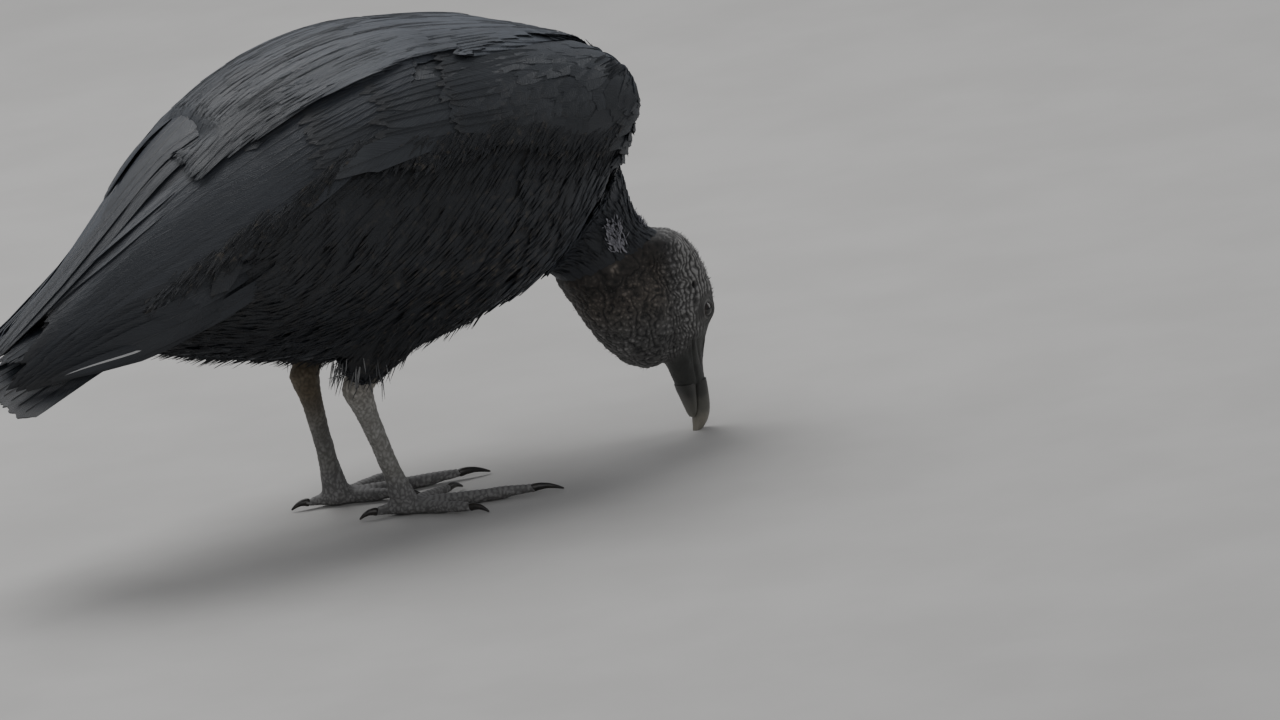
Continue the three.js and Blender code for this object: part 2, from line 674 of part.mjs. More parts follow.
const neckLower = addHead();
const thighs = addLegs();
let trunk = trunkSolid();
addNode("tail", tailSolid(), "flight");
trunk = trunk.subtract(tailSolid(GAP));
const blades = [];
for (const [name, side] of [["left", LEFT], ["right", RIGHT]]) {
  for (const [piece, solid] of Object.entries(wingPieces(side))) addNode(`wing_${name}_${piece}`, solid, "flight");
  blades.push([`wing_${name}_tertials`, tertialBlade(side)]);
  trunk = trunk.subtract(wholeWing(side, GAP, WING_RELIEF));
}
for (const [name, blade] of blades) addNode(name, blade.subtract(raised(trunk)), "flight");
addNode("neck_lower", neckLower.subtract(trunk), "plumage");
for (const { name, thigh } of thighs) addNode(`thigh_${name}`, thigh.subtract(trunk), "plumage");
addNode("trunk", trunk, "plumage");

// The origin is the bottom centre of the whole bird's box.
const box = new THREE.Box3().setFromObject(bird);
const centre = box.getCenter(new THREE.Vector3());
bird.position.set(-centre.x, -centre.y, -box.min.z);

export default bird;
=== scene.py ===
# %% [markdown]
# # A black vulture, feeding
#
# This lesson dresses the plain solids of a black vulture in skin, horn and feathers. The bird stands with its
# wings folded and its bare head pointing straight down at the floor. The solids come ready made and carry the
# true sizes, so everything below is measured from them or given in the same frame, and nothing is fitted by eye
# at the end.

# %% Load the solids
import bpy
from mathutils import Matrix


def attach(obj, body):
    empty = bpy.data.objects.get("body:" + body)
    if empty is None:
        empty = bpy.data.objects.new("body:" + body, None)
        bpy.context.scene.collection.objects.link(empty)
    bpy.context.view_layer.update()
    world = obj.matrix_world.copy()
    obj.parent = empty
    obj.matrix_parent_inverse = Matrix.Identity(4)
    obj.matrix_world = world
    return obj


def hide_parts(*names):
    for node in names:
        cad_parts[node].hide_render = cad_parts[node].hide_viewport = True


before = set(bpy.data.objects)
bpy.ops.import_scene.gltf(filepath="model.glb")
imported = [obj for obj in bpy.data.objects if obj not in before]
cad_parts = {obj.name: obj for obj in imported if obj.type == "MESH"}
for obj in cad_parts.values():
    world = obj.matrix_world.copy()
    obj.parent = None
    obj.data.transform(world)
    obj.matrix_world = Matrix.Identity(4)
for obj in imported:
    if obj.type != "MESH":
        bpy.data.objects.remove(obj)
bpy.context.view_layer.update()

# %% Tools of the workshop
import math
import bmesh
import bpy
import numpy as np
from mathutils import Matrix, Vector, kdtree, noise
from mathutils.bvhtree import BVHTree

MM = 0.001
SIDES = {"left": 1, "right": -1}
SCENE = bpy.context.scene

# %% [markdown]
# The bird's own places are easiest to think of in millimetres from the point on the floor between its feet: x
# ahead, y to its left, z up. The model's origin is the middle of its box instead, which lies a little further
# back, so one helper turns such a place into the frame's metres.

# %% Places in millimetres
BETWEEN_FEET = np.array([17.6, 0.0, 0.0])


def place(points):
    """Millimetres from between the feet to metres in the frame."""
    return (np.asarray(points, float) + BETWEEN_FEET) * MM


def stance(points):
    """The other way round: metres in the frame to millimetres from between the feet."""
    return np.asarray(points, float) / MM - BETWEEN_FEET


def unit(vectors):
    """Vectors of length one."""
    vectors = np.asarray(vectors, float)
    return vectors / np.maximum(np.linalg.norm(vectors, axis=-1, keepdims=True), 1e-12)


def soft_step(x, low, high):
    """0 below low, 1 above high, and a smooth slope between."""
    t = np.clip((np.asarray(x, float) - low) / (high - low), 0, 1)
    return t * t * (3 - 2 * t)


# %% [markdown]
# The camera comes early, because a view to work in shows mistakes soonest. It looks from behind the bird's right
# side and a little down, from far away through a long lens, so the bird keeps its true proportions. The camera
# is rolled a little, which makes the floor climb to the right.

# %% Camera
HEADING = math.radians(28)  # the view runs from the bird's right side towards its head
LOOK_DOWN = math.radians(13)
ROLL = math.radians(8.5)
DISTANCE = 8.0
LENS = 393.75
PICTURE_CENTRE = (0.1474, 0.0834)  # right of and above the point between the feet, across the view


def make_camera():
    """A camera on the far end of the line of sight."""
    sight = np.array([
        math.sin(HEADING) * math.cos(LOOK_DOWN),
        math.cos(HEADING) * math.cos(LOOK_DOWN),
        -math.sin(LOOK_DOWN),
    ])
    level_right = np.array([math.cos(HEADING), -math.sin(HEADING), 0.0])
    level_up = np.cross(level_right, sight)
    right = math.cos(ROLL) * level_right - math.sin(ROLL) * level_up
    up = math.sin(ROLL) * level_right + math.cos(ROLL) * level_up
    target = place([0, 0, 0]) + PICTURE_CENTRE[0] * right + PICTURE_CENTRE[1] * up
    data = bpy.data.cameras.new("view_camera")
    data.sensor_width = 36
    data.lens = LENS
    data.clip_end = 100
    camera = bpy.data.objects.new("view_camera", data)
    turn = Matrix(np.column_stack([right, up, -sight])).to_4x4()
    camera.matrix_world = Matrix.Translation(target - DISTANCE * sight) @ turn
    SCENE.collection.objects.link(camera)
    SCENE.camera = camera
    return camera


camera = make_camera()
print("camera height above the floor:", round(camera.matrix_world.translation.z, 2), "m")

# %% [markdown]
# Black feathers only read as feathers when something bright is mirrored in them. A large soft lamp hangs over the
# bird, like an overcast sky: it greys everything that faces up, while the sides stay dark. A weak wide lamp on
# the camera's side opens the shadows just enough.

# %% Light and floor
LAMPS = {
    "sky_lamp": {"at": (-0.2, 1.0, 2.4), "size": 2.6, "watts": 62},
    "side_lamp": {"at": (-1.2, -2.6, 1.5), "size": 2.0, "watts": 16},
    "front_lamp": {"at": (2.6, -0.6, 1.2), "size": 1.4, "watts": 7},
}
ROOM_GREY = (0.62, 0.64, 0.68, 1)
ROOM_STRENGTH = 0.32
FLOOR_SIZE = 60.0


def make_lamp(name, at, size, watts):
    """A square lamp that faces the bird."""
    data = bpy.data.lights.new(name, "AREA")
    data.size = size
    data.energy = watts
    lamp = bpy.data.objects.new(name, data)
    lamp.location = at
    lamp.rotation_euler = (Vector((0, 0, 0.15)) - Vector(at)).to_track_quat("-Z", "Y").to_euler()
    SCENE.collection.objects.link(lamp)


for lamp_name, lamp_facts in LAMPS.items():
    make_lamp(lamp_name, **lamp_facts)
world = bpy.data.worlds.new("room")
world.use_nodes = True
world.node_tree.nodes["Background"].inputs["Color"].default_value = ROOM_GREY
world.node_tree.nodes["Background"].inputs["Strength"].default_value = ROOM_STRENGTH
SCENE.world = world
print("lamps:", ", ".join(LAMPS))

# %% [markdown]
# A finish is a small tree of shader nodes. Writing such a tree by hand is long, so a tiny helper class adds a
# node and joins its inputs in one call. A number or colour goes on the socket, and a node's output is linked.


# %% A helper for finishes
class Finish:
    """A material with a Principled shader, and short calls that add nodes to it."""

    def __init__(self, name, **constants):
        self.material = bpy.data.materials.new(name)
        self.material.use_nodes = True
        self.nodes = self.material.node_tree.nodes
        self.links = self.material.node_tree.links
        self.shader = self.nodes["Principled BSDF"]
        for socket, value in constants.items():
            self.shader.inputs[socket.replace("_", " ")].default_value = value

    def set(self, node, **sockets):
        """Sets or links a node's inputs by name, or by number as in_0."""
        for key, value in sockets.items():
            number = key[3:] if key.startswith("in_") else None
            socket = node.inputs[int(number)] if number else node.inputs[key.replace("_", " ")]
            if isinstance(value, bpy.types.NodeSocket):
                self.links.new(value, socket)
            else:
                socket.default_value = value
        return node

    def add(self, kind, settings=None, **sockets):
        """Adds a node of a kind and returns its first output."""
        node = self.nodes.new("ShaderNode" + kind)
        for key, value in (settings or {}).items():
            setattr(node, key, value)
        return self.set(node, **sockets).outputs[0]

    def math(self, operation, a, b=0.0):
        """One sum on two numbers."""
        return self.add("Math", {"operation": operation}, in_0=a, in_1=b)

    def mix(self, share, a, b, blend="MIX"):
        """One colour mixed from two."""
        node = self.nodes.new("ShaderNodeMix")
        node.data_type = "RGBA"
        node.blend_type = blend
        for socket, value in ((node.inputs[0], share), (node.inputs[6], a), (node.inputs[7], b)):
            if isinstance(value, bpy.types.NodeSocket):
                self.links.new(value, socket)
            else:
                socket.default_value = value
        return node.outputs[2]

    def ramp(self, value, stops, smooth=True):
        """A colour that follows a number through stops of (place, grey or colour)."""
        node = self.nodes.new("ShaderNodeValToRGB")
        node.color_ramp.interpolation = "EASE" if smooth else "LINEAR"
        self.links.new(value, node.inputs[0])
        elements = node.color_ramp.elements
        while len(elements) < len(stops):
            elements.new(0.5)
        for element, (where, tint) in zip(elements, stops):
            element.position = where
            element.color = (tint, tint, tint, 1) if isinstance(tint, float) else (*tint, 1)
        return node.outputs[0]

    def noise(self, where, scale, detail=3.0, rough=0.55):
        """Cloudy numbers between 0 and 1."""
        return self.add("TexNoise", None, Vector=where, Scale=scale, Detail=detail, Roughness=rough)

    def marks(self):
        """The four numbers painted on every point of a skin or feather."""
        node = self.nodes.new("ShaderNodeAttribute")
        node.attribute_name = "marks"
        split = self.nodes.new("ShaderNodeSeparateColor")
        self.links.new(node.outputs["Color"], split.inputs[0])
        return [*split.outputs, node.outputs["Alpha"]]

    def bump(self, height, distance, strength=1.0, normal=None):
        """A normal tilted by a height in metres times distance."""
        node = self.nodes.new("ShaderNodeBump")
        self.set(node, Strength=strength, Distance=distance, Height=height)
        if normal:
            self.links.new(normal, node.inputs["Normal"])
        return node.outputs[0]

    def spot(self):
        """The place on the object, in metres."""
        return self.nodes.new("ShaderNodeTexCoord").outputs["Object"]


# %% Floor
def make_floor():
    """A plain pale floor, with a grain too fine to notice."""
    mesh = bpy.data.meshes.new("floor")
    half = FLOOR_SIZE / 2
    mesh.from_pydata([(-half, -half, 0), (half, -half, 0), (half, half, 0), (-half, half, 0)], [], [(0, 1, 2, 3)])
    floor = bpy.data.objects.new("floor", mesh)
    SCENE.collection.objects.link(floor)
    finish = Finish("studio_floor", Roughness=0.85)
    grain = finish.noise(finish.spot(), 9.0, 4.0)
    finish.set(finish.shader, Base_Color=finish.ramp(grain, [(0.3, (0.50, 0.49, 0.475)), (0.7, (0.54, 0.53, 0.515))]))
    mesh.materials.append(finish.material)


make_floor()

# %% [markdown]
# ## One skin
#
# A bird's skin has no seams, but the solids meet at thin cuts. So the flesh solids are fused first: each is grown
# by half a cut, all are joined, and a voxel remesh melts them into one closed surface, which a few rounds of
# smoothing then calm down. The same helper makes the smooth surface that the feathers will lie on.

# %% Fuse solids into one surface
CUT = 0.00035


def copy_of(name, grow):
    """A mesh copied from one solid, its corners merged, and grown along its normals."""
    shape = bmesh.new()
    shape.from_mesh(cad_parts[name].data)
    bmesh.ops.remove_doubles(shape, verts=shape.verts, dist=1e-5)
    shape.normal_update()
    for vertex in shape.verts:
        vertex.co += vertex.normal * grow
    mesh = bpy.data.meshes.new(name + "_copy")
    shape.to_mesh(mesh)
    shape.free()
    return mesh


def finished_mesh(obj):
    """The mesh that an object's modifiers make, and the object is thrown away."""
    bpy.context.view_layer.update()
    made = bpy.data.meshes.new_from_object(obj.evaluated_get(bpy.context.evaluated_depsgraph_get()))
    bpy.data.objects.remove(obj)
    return made


def object_of(name, mesh):
    """A mesh as an object in the scene."""
    obj = bpy.data.objects.new(name, mesh)
    SCENE.collection.objects.link(obj)
    return obj


def fused(names, voxel, rounds):
    """One closed smooth mesh around several solids."""
    whole = bmesh.new()
    for name in names:
        whole.from_mesh(copy_of(name, CUT))
    mesh = bpy.data.meshes.new("fused")
    whole.to_mesh(mesh)
    whole.free()
    obj = object_of("fused", mesh)
    melt = obj.modifiers.new("melt", "REMESH")
    melt.mode = "VOXEL"
    melt.voxel_size = voxel
    calm = obj.modifiers.new("calm", "SMOOTH")
    calm.factor = 0.5
    calm.iterations = rounds
    return finished_mesh(obj)


def points_of(mesh):
    """A mesh's corners as an array."""
    points = np.empty(len(mesh.vertices) * 3)
    mesh.vertices.foreach_get("co", points)
    return points.reshape(-1, 3)


def normals_of(mesh):
    """A mesh's corner normals as an array."""
    normals = np.empty(len(mesh.vertices) * 3, np.float32)
    mesh.vertices.foreach_get("normal", normals)
    return normals.reshape(-1, 3).astype(float)


def move_points(mesh, points):
    """Puts a mesh's corners at new places."""
    mesh.vertices.foreach_set("co", np.asarray(points, np.float32).ravel())
    mesh.update()


# %% [markdown]
# The head has its own directions: ahead along the bill, up towards the crown, and left. The head hangs straight
# down, so ahead in the head is down in the room. All sizes on the head are given in this frame.

# %% The head's own frame
HEAD_ORIGIN = np.array([197.8, -23.1, 72.2])
HEAD_YAW = math.radians(12)
HEAD_LEAN = math.radians(2.5)
HEAD_AHEAD = np.array([
    math.sin(HEAD_LEAN) * math.cos(HEAD_YAW),
    math.sin(HEAD_LEAN) * math.sin(HEAD_YAW),
    -math.cos(HEAD_LEAN),
])
HEAD_LEFT = np.array([-math.sin(HEAD_YAW), math.cos(HEAD_YAW), 0.0])
HEAD_UP = np.cross(HEAD_AHEAD, HEAD_LEFT)
HEAD_AXES = np.column_stack([HEAD_AHEAD, HEAD_UP, HEAD_LEFT])


def from_head(rows):
    """Places of the head, (ahead, up, left) in millimetres, in the frame's metres."""
    return place(HEAD_ORIGIN + np.asarray(rows, float) @ HEAD_AXES.T)


def in_head(points):
    """Frame metres as places of the head, in millimetres."""
    return (stance(points) - HEAD_ORIGIN) @ HEAD_AXES


EYE_PLACE = {name: np.array([0.5, 5.0, side * 13.2]) for name, side in SIDES.items()}
EYE_RADIUS = 6.0
BILL_ROOT = 46.0
print("eye centres:", {name: from_head(spot).round(4).tolist() for name, spot in EYE_PLACE.items()})

# %% [markdown]
# Feathers stop in a ruff on the neck. What lies beyond a slanting plane there, the head and upper neck, is bare,
# and so are the legs below the heel. This measure says how far a place lies beyond the ruff, in millimetres, so
# that the skin can be sunk under the feathers on one side and left bare on the other.

# %% Where the bird is bare
HEEL_HEIGHT = 82.0


def bareness(points):
    """Millimetres past the ruff towards the bill."""
    nape = HEAD_ORIGIN + HEAD_AXES @ np.array([-44.0, -4.0, 0.0])
    foreneck = np.array([137.0, nape[1], 97.0])
    across = unit(np.cross(foreneck - nape, np.array([0.0, 1.0, 0.0])))
    feet = stance(points)
    behind = 60 * (1 - soft_step(feet[:, 0], 108, 132))
    return (feet - nape) @ across - behind


FLESH = ["head", "neck_upper", "neck_lower", "trunk"]
for side_name in SIDES:
    FLESH += [f"thigh_{side_name}", f"shank_{side_name}", f"foot_{side_name}"]
ARMS = [f"wing_{side_name}_coverts" for side_name in SIDES]
EYES = ["eye_left", "eye_right"]
SKIN_VOXEL = 0.00226
PLUMAGE_DEPTH = 0.0046
skin_mesh = fused(FLESH + ARMS + EYES, SKIN_VOXEL, 5)
print("fused skin:", len(skin_mesh.polygons), "faces")
test = bareness(place([[137, -15, 97], [197, -23, 72], [116, 0, 202]]))
print("bareness at foreneck cut, eyes and shoulders:", test.round(1))

# %% [markdown]
# Under the feathers the skin needs few faces and lies a few millimetres deep. On the bare head and legs it needs
# many small ones, for wrinkles and scales. So the hidden part is thinned out with a Decimate modifier that a
# vertex group holds to that part, and the bare parts are subdivided after it.

# %% Sink the skin and share out its faces
HIDDEN_SHARE = 0.06


def legness(points):
    """1 on the bare legs and 0 on the body."""
    return 1 - soft_step(stance(points)[:, 2], HEEL_HEIGHT - 3, HEEL_HEIGHT + 14)


def hidden_depth(points):
    """How deep the skin lies under the plumage at each place, in metres."""
    hidden = 1 - soft_step(bareness(points), -26, 2)
    feet = stance(points)
    leg_zone = (feet[:, 0] < 60) & (feet[:, 2] < HEEL_HEIGHT + 14)
    hidden = np.where(leg_zone, hidden * (1 - legness(points)), hidden)
    return PLUMAGE_DEPTH * hidden


def thin_out(mesh, share):
    """Fewer faces where the skin is hidden, with the corners put back on the surface afterwards."""
    before = BVHTree.FromPolygons(points_of(mesh).tolist(), [tuple(p.vertices) for p in mesh.polygons])
    obj = object_of("thin", mesh)
    group = obj.vertex_groups.new(name="hidden")
    deep = hidden_depth(points_of(mesh)) > 0.9 * PLUMAGE_DEPTH
    deep &= stance(points_of(mesh))[:, 0] < 112
    group.add(np.flatnonzero(deep).tolist(), 1.0, "REPLACE")
    fewer = obj.modifiers.new("fewer", "DECIMATE")
    fewer.vertex_group = "hidden"
    fewer.ratio = 1 - deep.mean() * (1 - share)
    print("under the plumage:", round(float(deep.mean()), 3), "of the skin")
    thin = finished_mesh(obj)
    move_points(thin, [before.find_nearest(p)[0] for p in points_of(thin).tolist()])
    return thin


def refine(mesh, chosen):
    """Halves the edges of every face whose corners are all chosen."""
    shape = bmesh.new()
    shape.from_mesh(mesh)
    shape.edges.ensure_lookup_table()
    edges = [e for e in shape.edges if chosen[e.verts[0].index] and chosen[e.verts[1].index]]
    bmesh.ops.subdivide_edges(shape, edges=edges, cuts=1, use_grid_fill=True)
    bmesh.ops.triangulate(shape, faces=[f for f in shape.faces if len(f.verts) > 4])
    shape.to_mesh(mesh)
    shape.free()
    return mesh


def smooth_places(mesh, weights, rounds):
    """Averages each corner with its neighbours, as far as its weight says."""
    edges = np.empty(len(mesh.edges) * 2, np.int64)
    mesh.edges.foreach_get("vertices", edges)
    a, b = edges.reshape(-1, 2).T
    points = points_of(mesh)
    count = np.bincount(np.concatenate([a, b]), minlength=len(points))[:, None]
    for _ in range(rounds):
        total = np.zeros_like(points)
        for axis in range(3):
            total[:, axis] += np.bincount(a, points[b, axis], len(points))
            total[:, axis] += np.bincount(b, points[a, axis], len(points))
        points += weights[:, None] * 0.5 * (total / np.maximum(count, 1) - points)
    move_points(mesh, points)


def bare_places(mesh):
    """Which corners are on the bare head, neck or legs."""
    return hidden_depth(points_of(mesh)) < 0.25 * PLUMAGE_DEPTH


def fine_places(mesh):
    """Which corners are on the bare head, where the finest wrinkles are."""
    points = points_of(mesh)
    return (bareness(points) > 0) & (stance(points)[:, 0] > 120) & (in_head(points)[:, 0] < 34)


skin_mesh = thin_out(skin_mesh, HIDDEN_SHARE)
refine(skin_mesh, bare_places(skin_mesh))
smooth_places(skin_mesh, bare_places(skin_mesh).astype(float), 3)
skin_points = points_of(skin_mesh)
skin_normals = normals_of(skin_mesh)
move_points(skin_mesh, skin_points - skin_normals * (CUT + hidden_depth(skin_points))[:, None])
print("skin:", len(skin_mesh.polygons), "faces after sharing out")

# %% [markdown]
# The bare head of this bird is wrinkled like a walnut: narrow rounded ridges with fine valleys between them. They
# run lengthwise over crown and nape, and break up into pebbles on the cheeks. Towards the bill the skin is smooth.
# The legs have small many-sided scales, and the tops of the toes have broad plates. All of that is moved in the
# mesh. The height is also kept as a mark, which paints the ridges pale and the valleys dark: painted light and
# shade from the relief.


# %% Patterns of the skin
def noise_at(points, size, shift=0.0):
    """Smooth noise between about -1 and 1 for places in millimetres; size is how far apart its hills are."""
    return np.array([noise.noise(Vector(p)) for p in (points / size + shift).tolist()])


def cells_at(points, size):
    """0 in the valleys between cells and 1 on top of them."""
    gaps = []
    for p in (points / size).tolist():
        distance = noise.voronoi(Vector(p))[0]
        gaps.append(distance[1] - distance[0])
    return soft_step(np.array(gaps), 0.0, 0.42)


def ridges(run, width):
    """Rounded crests with sharp valleys along a distance."""
    return np.abs(np.sin(math.pi * run / width))


NOSTRIL = {"ahead": 23.5, "up": 4.6, "long": 4.2, "wide": 1.3, "deep": 3.4}
EAR = {"ahead": -17.0, "up": -3.0, "long": 2.6, "wide": 1.9, "deep": 2.2}
MOUTH_BACK = 13.0


def smooth_face(spots):
    """1 on the smooth face near the bill and 0 on the wrinkled head."""
    return soft_step(spots[:, 0] - 8 - (5 - spots[:, 1]) * 0.9, -6, 5)


def head_relief(spots):
    """Height in millimetres and pattern of the bare head and neck, for places in the head's own frame."""
    ahead, up, left = spots.T
    around = np.arctan2(left, up + 5) * 17
    warp = 1.5 * noise_at(spots, 8.0) + 0.6 * noise_at(spots, 3.6, 9.1)
    cheek = soft_step(np.abs(around), 15, 34)
    lines = ridges(around + warp * (1.2 + 1.2 * cheek), 2.6)
    beads = ridges(ahead + 1.6 * warp, 4.2)
    pebbles = cells_at(spots + warp[:, None] * 0.4, 2.3)
    worms = lines * (0.6 + 0.4 * beads)
    pattern = worms * (1 - 0.35 * cheek) + pebbles * 0.35 * cheek
    face = smooth_face(spots)
    swell = 0.55 * noise_at(spots, 10.0, 4.0) + 0.35 * ridges(ahead + 2.5 * noise_at(spots, 12.0, 2.0), 8.5)
    neck_fold = soft_step(-ahead, 26, 44) * ridges(ahead * 0.9 - 0.5 * np.abs(up) + 2.2 * warp, 6.2) * 0.9
    fine = cells_at(spots, 1.4) * 0.10
    height = (pattern * 0.95 + swell) * (1 - face) + (fine + 0.12 * swell) * face + neck_fold * (1 - face)
    # painted light and shade: the pattern becomes the colour, pale on the ridges and dark in the valleys
    shade = np.clip(pattern * (1 - face) + face * (0.35 + 0.6 * fine / 0.10 * 0.25), 0, 1)
    for fold_up, fold_width in ((-2.5, 0.9), (-9.0, 1.2)):
        near = (up - fold_up - 0.25 * (ahead - 20)) / fold_width
        height -= 0.5 * np.exp(-near ** 2) * soft_step(ahead, 4, 12) * (1 - soft_step(ahead, 30, 38)) * face
    mouth_up = -3.7 - 2.6 * soft_step(-ahead, -44, -MOUTH_BACK)
    mouth = np.exp(-((up - mouth_up) / 0.75) ** 2) * soft_step(ahead, MOUTH_BACK - 3, MOUTH_BACK + 5)
    height -= 1.0 * mouth
    # painted shade: the colour is darkened along the mouth line
    shade *= 1 - 0.8 * mouth
    return height, shade


def hollow(spots, hole):
    """How deep a small hole reaches at each place, 0 to 1, and the rim around it."""
    e = np.hypot((spots[:, 0] - hole["ahead"]) / hole["long"], (spots[:, 1] - hole["up"]) / hole["wide"])
    return 1 - soft_step(e, 0.45, 1.1), np.exp(-((e - 1.45) / 0.3) ** 2)


# %% [markdown]
# The lids are shaped in rings around each eye. Inside the opening the skin sinks below the eyeball. At its rim it
# stands just over the ball with a thin roll, and then it runs out into the face with a few ringed folds.

# %% Lids
LID = {"long": 4.2, "wide": 2.9, "inside": 4.8, "over": 6.5, "roll": 0.45}


def shape_lids(spots):
    """Moves places around the eyes; returns the new places, and marks for the rim and for inside."""
    spots = spots.copy()
    rim_mark = np.zeros(len(spots))
    inside_mark = np.zeros(len(spots))
    for centre in EYE_PLACE.values():
        q = spots - centre
        near = (np.linalg.norm(q, axis=1) < 17) & (np.sign(spots[:, 2]) == np.sign(centre[2]))
        e = np.hypot((q[:, 0] + 0.25 * q[:, 1]) / LID["long"], q[:, 1] / LID["wide"])
        reach = np.linalg.norm(q, axis=1)
        ball = np.minimum(LID["over"], reach * 0 + LID["over"])
        roll = LID["roll"] * np.exp(-((e - 1.12) / 0.16) ** 2) + 0.3 * np.exp(-((e - 1.75) / 0.14) ** 2)
        fold = 0.28 * np.cos((e - 2.35) * 2 * math.pi / 0.62) * soft_step(e, 1.9, 2.2) * (1 - soft_step(e, 2.9, 3.9))
        lid = np.maximum(reach, ball) + roll + fold
        inner = np.full(len(spots), LID["inside"])
        wanted = np.where(e < 0.9, inner, lid)
        share = soft_step(e, 0.86, 1.0)
        wanted = np.where(e < 1.0, inner * (1 - share) + lid * share, wanted)
        keep = soft_step(e, 2.6, 4.0)
        new = centre + unit(q) * wanted[:, None]
        mixed = new * (1 - keep[:, None]) + spots * keep[:, None]
        spots[near] = mixed[near]
        rim_mark = np.where(near, np.maximum(rim_mark, np.exp(-((e - 1.15) / 0.2) ** 2)), rim_mark)
        inside_mark = np.where(near, np.maximum(inside_mark, 1 - soft_step(e, 0.8, 1.0)), inside_mark)
    return spots, rim_mark, inside_mark


# %% Legs and feet
TOE_JOINTS = {"left": np.array([-12.0, 30.0]), "right": np.array([0.0, -30.0])}


def leg_relief(feet, normals):
    """Height in millimetres and pattern of the legs, for places in millimetres from between the feet."""
    side = np.where(feet[:, 1] > 0, 0, 1)
    joint = np.array([TOE_JOINTS["left"], TOE_JOINTS["right"]])[side]
    out = np.linalg.norm(feet[:, :2] - joint, axis=1)
    scales = cells_at(feet * [1, 1, 0.8], 2.2)
    plates = ridges(out + 0.5 * noise_at(feet, 5.0), 3.3)
    toe = soft_step(out, 8, 14) * (1 - soft_step(feet[:, 2], 9, 16))
    top = toe * soft_step(normals[:, 2], 0.35, 0.75)
    pattern = scales * (1 - top) + plates * top
    heel = np.exp(-((feet[:, 2] - 80) / 9) ** 2)
    folds = ridges(feet[:, 2] + 1.2 * noise_at(feet, 6.0), 3.4) * heel
    bones = 0.35 * noise_at(feet, 13.0)
    height = 0.28 * pattern + 0.18 * top * plates + 0.35 * folds + bones
    height = np.where(feet[:, 2] < 1.2, np.minimum(height, 0) * 0, height * soft_step(feet[:, 2], 0.4, 3))
    return height, pattern


# %% Press the patterns into the skin
def dress_skin(mesh):
    """Moves the bare skin's corners and paints the marks."""
    points = points_of(mesh)
    normals = normals_of(mesh)
    spots = in_head(points)
    feet = stance(points)
    marks = np.zeros((len(points), 4))
    marks[:, 3] = 1.0
    bare = (bareness(points) > -14) & (feet[:, 0] > 120)
    height, shade = head_relief(spots[bare])
    fade = soft_step(bareness(points[bare]), -14, -4)
    lids, rim, inside = shape_lids(spots[bare])
    eye_gap = np.min([np.linalg.norm(spots[bare] - c, axis=1) for c in EYE_PLACE.values()], axis=0)
    clear = soft_step(eye_gap, 7.5, 13)
    height = height * clear * fade
    turned = normals[bare] @ np.eye(3)
    moved = from_head(lids) + turned * (height * MM)[:, None]
    for hole in (NOSTRIL, EAR):
        deep, lip = hollow(spots[bare], hole)
        sideways = unit(turned * np.array([1.0, 1.0, 1.0]))
        moved += sideways * ((0.3 * lip - hole["deep"] * deep) * MM)[:, None]
        # painted shade: the nostril and the ear are painted dark inside
        shade = shade * (1 - deep)
    flat_end = soft_step(spots[bare, 0], BILL_ROOT - 1.5, BILL_ROOT - 0.2)[:, None]
    points[bare] = moved * (1 - flat_end) + points[bare] * flat_end
    # painted light: the crown and hind crown are painted paler, as where the light falls on them
    crown = soft_step(spots[bare, 1], -24, -4) * (1 - soft_step(spots[bare, 0], 4, 16))
    marks[bare, 0] = shade * clear * (0.85 + 0.35 * crown) + 0.1 * crown + 0.3 * (1 - clear) + 0.35 * rim
    marks[bare, 1] = smooth_face(spots[bare])
    throat = soft_step(-spots[bare, 1], 14, 26) * (1 - soft_step(spots[bare, 0], -22, 6))
    # painted shade: the light mark darkens the throat side just under the ruff
    shadow = (1 - soft_step(bareness(points[bare]), 0, 22)) * soft_step(-spots[bare, 1], 4, 20)
    marks[bare, 3] = 1 - 0.75 * shadow
    marks[bare, 2] = np.clip(throat + inside * 0, 0, 1)
    spot = 1 - soft_step(np.linalg.norm(feet[bare] - [150, -40, 110], axis=1), 2, 7)
    marks[bare, 0] += 0.4 * spot
    marks[bare, 2] = np.maximum(marks[bare, 2], spot)
    marks[bare, 3] = np.maximum(marks[bare, 3], spot)
    legs = (legness(points) > 0.01) & (feet[:, 0] < 110)
    height, pattern = leg_relief(feet[legs], normals[legs])
    points[legs] += normals[legs] * (height * legness(points)[legs] * MM)[:, None]
    marks[legs, 0] = pattern
    # painted shade: the light mark darkens the far leg, and the near leg towards the floor
    near = 1 - soft_step(feet[legs, 1], -4, 4)
    marks[legs, 3] = 0.35 + 0.65 * near * soft_step(feet[legs, 2], 8, 40)
    low = 1 - soft_step(feet[legs, 2], 8, 34)
    marks[legs, 1] = low
    stain = soft_step(feet[legs, 1], 0, 5) * soft_step(feet[legs, 2], 40, 75)
    marks[legs, 2] = np.clip(stain + 0.35 * soft_step(feet[legs, 2], 60, 90), 0, 1)
    points[:, 2] = np.maximum(points[:, 2], 0.0)
    move_points(mesh, points)
    layer = mesh.attributes.new("marks", "FLOAT_COLOR", "POINT")
    layer.data.foreach_set("color", marks.astype(np.float32).ravel())


refine(skin_mesh, fine_places(skin_mesh))
dress_skin(skin_mesh)
print("skin:", len(skin_mesh.polygons), "faces with wrinkles and scales")

# %% [markdown]
# The skin has three finishes: the bare head, the legs, and the part under the feathers, which only needs to be
# as dark as they are, so that it never shows between them.


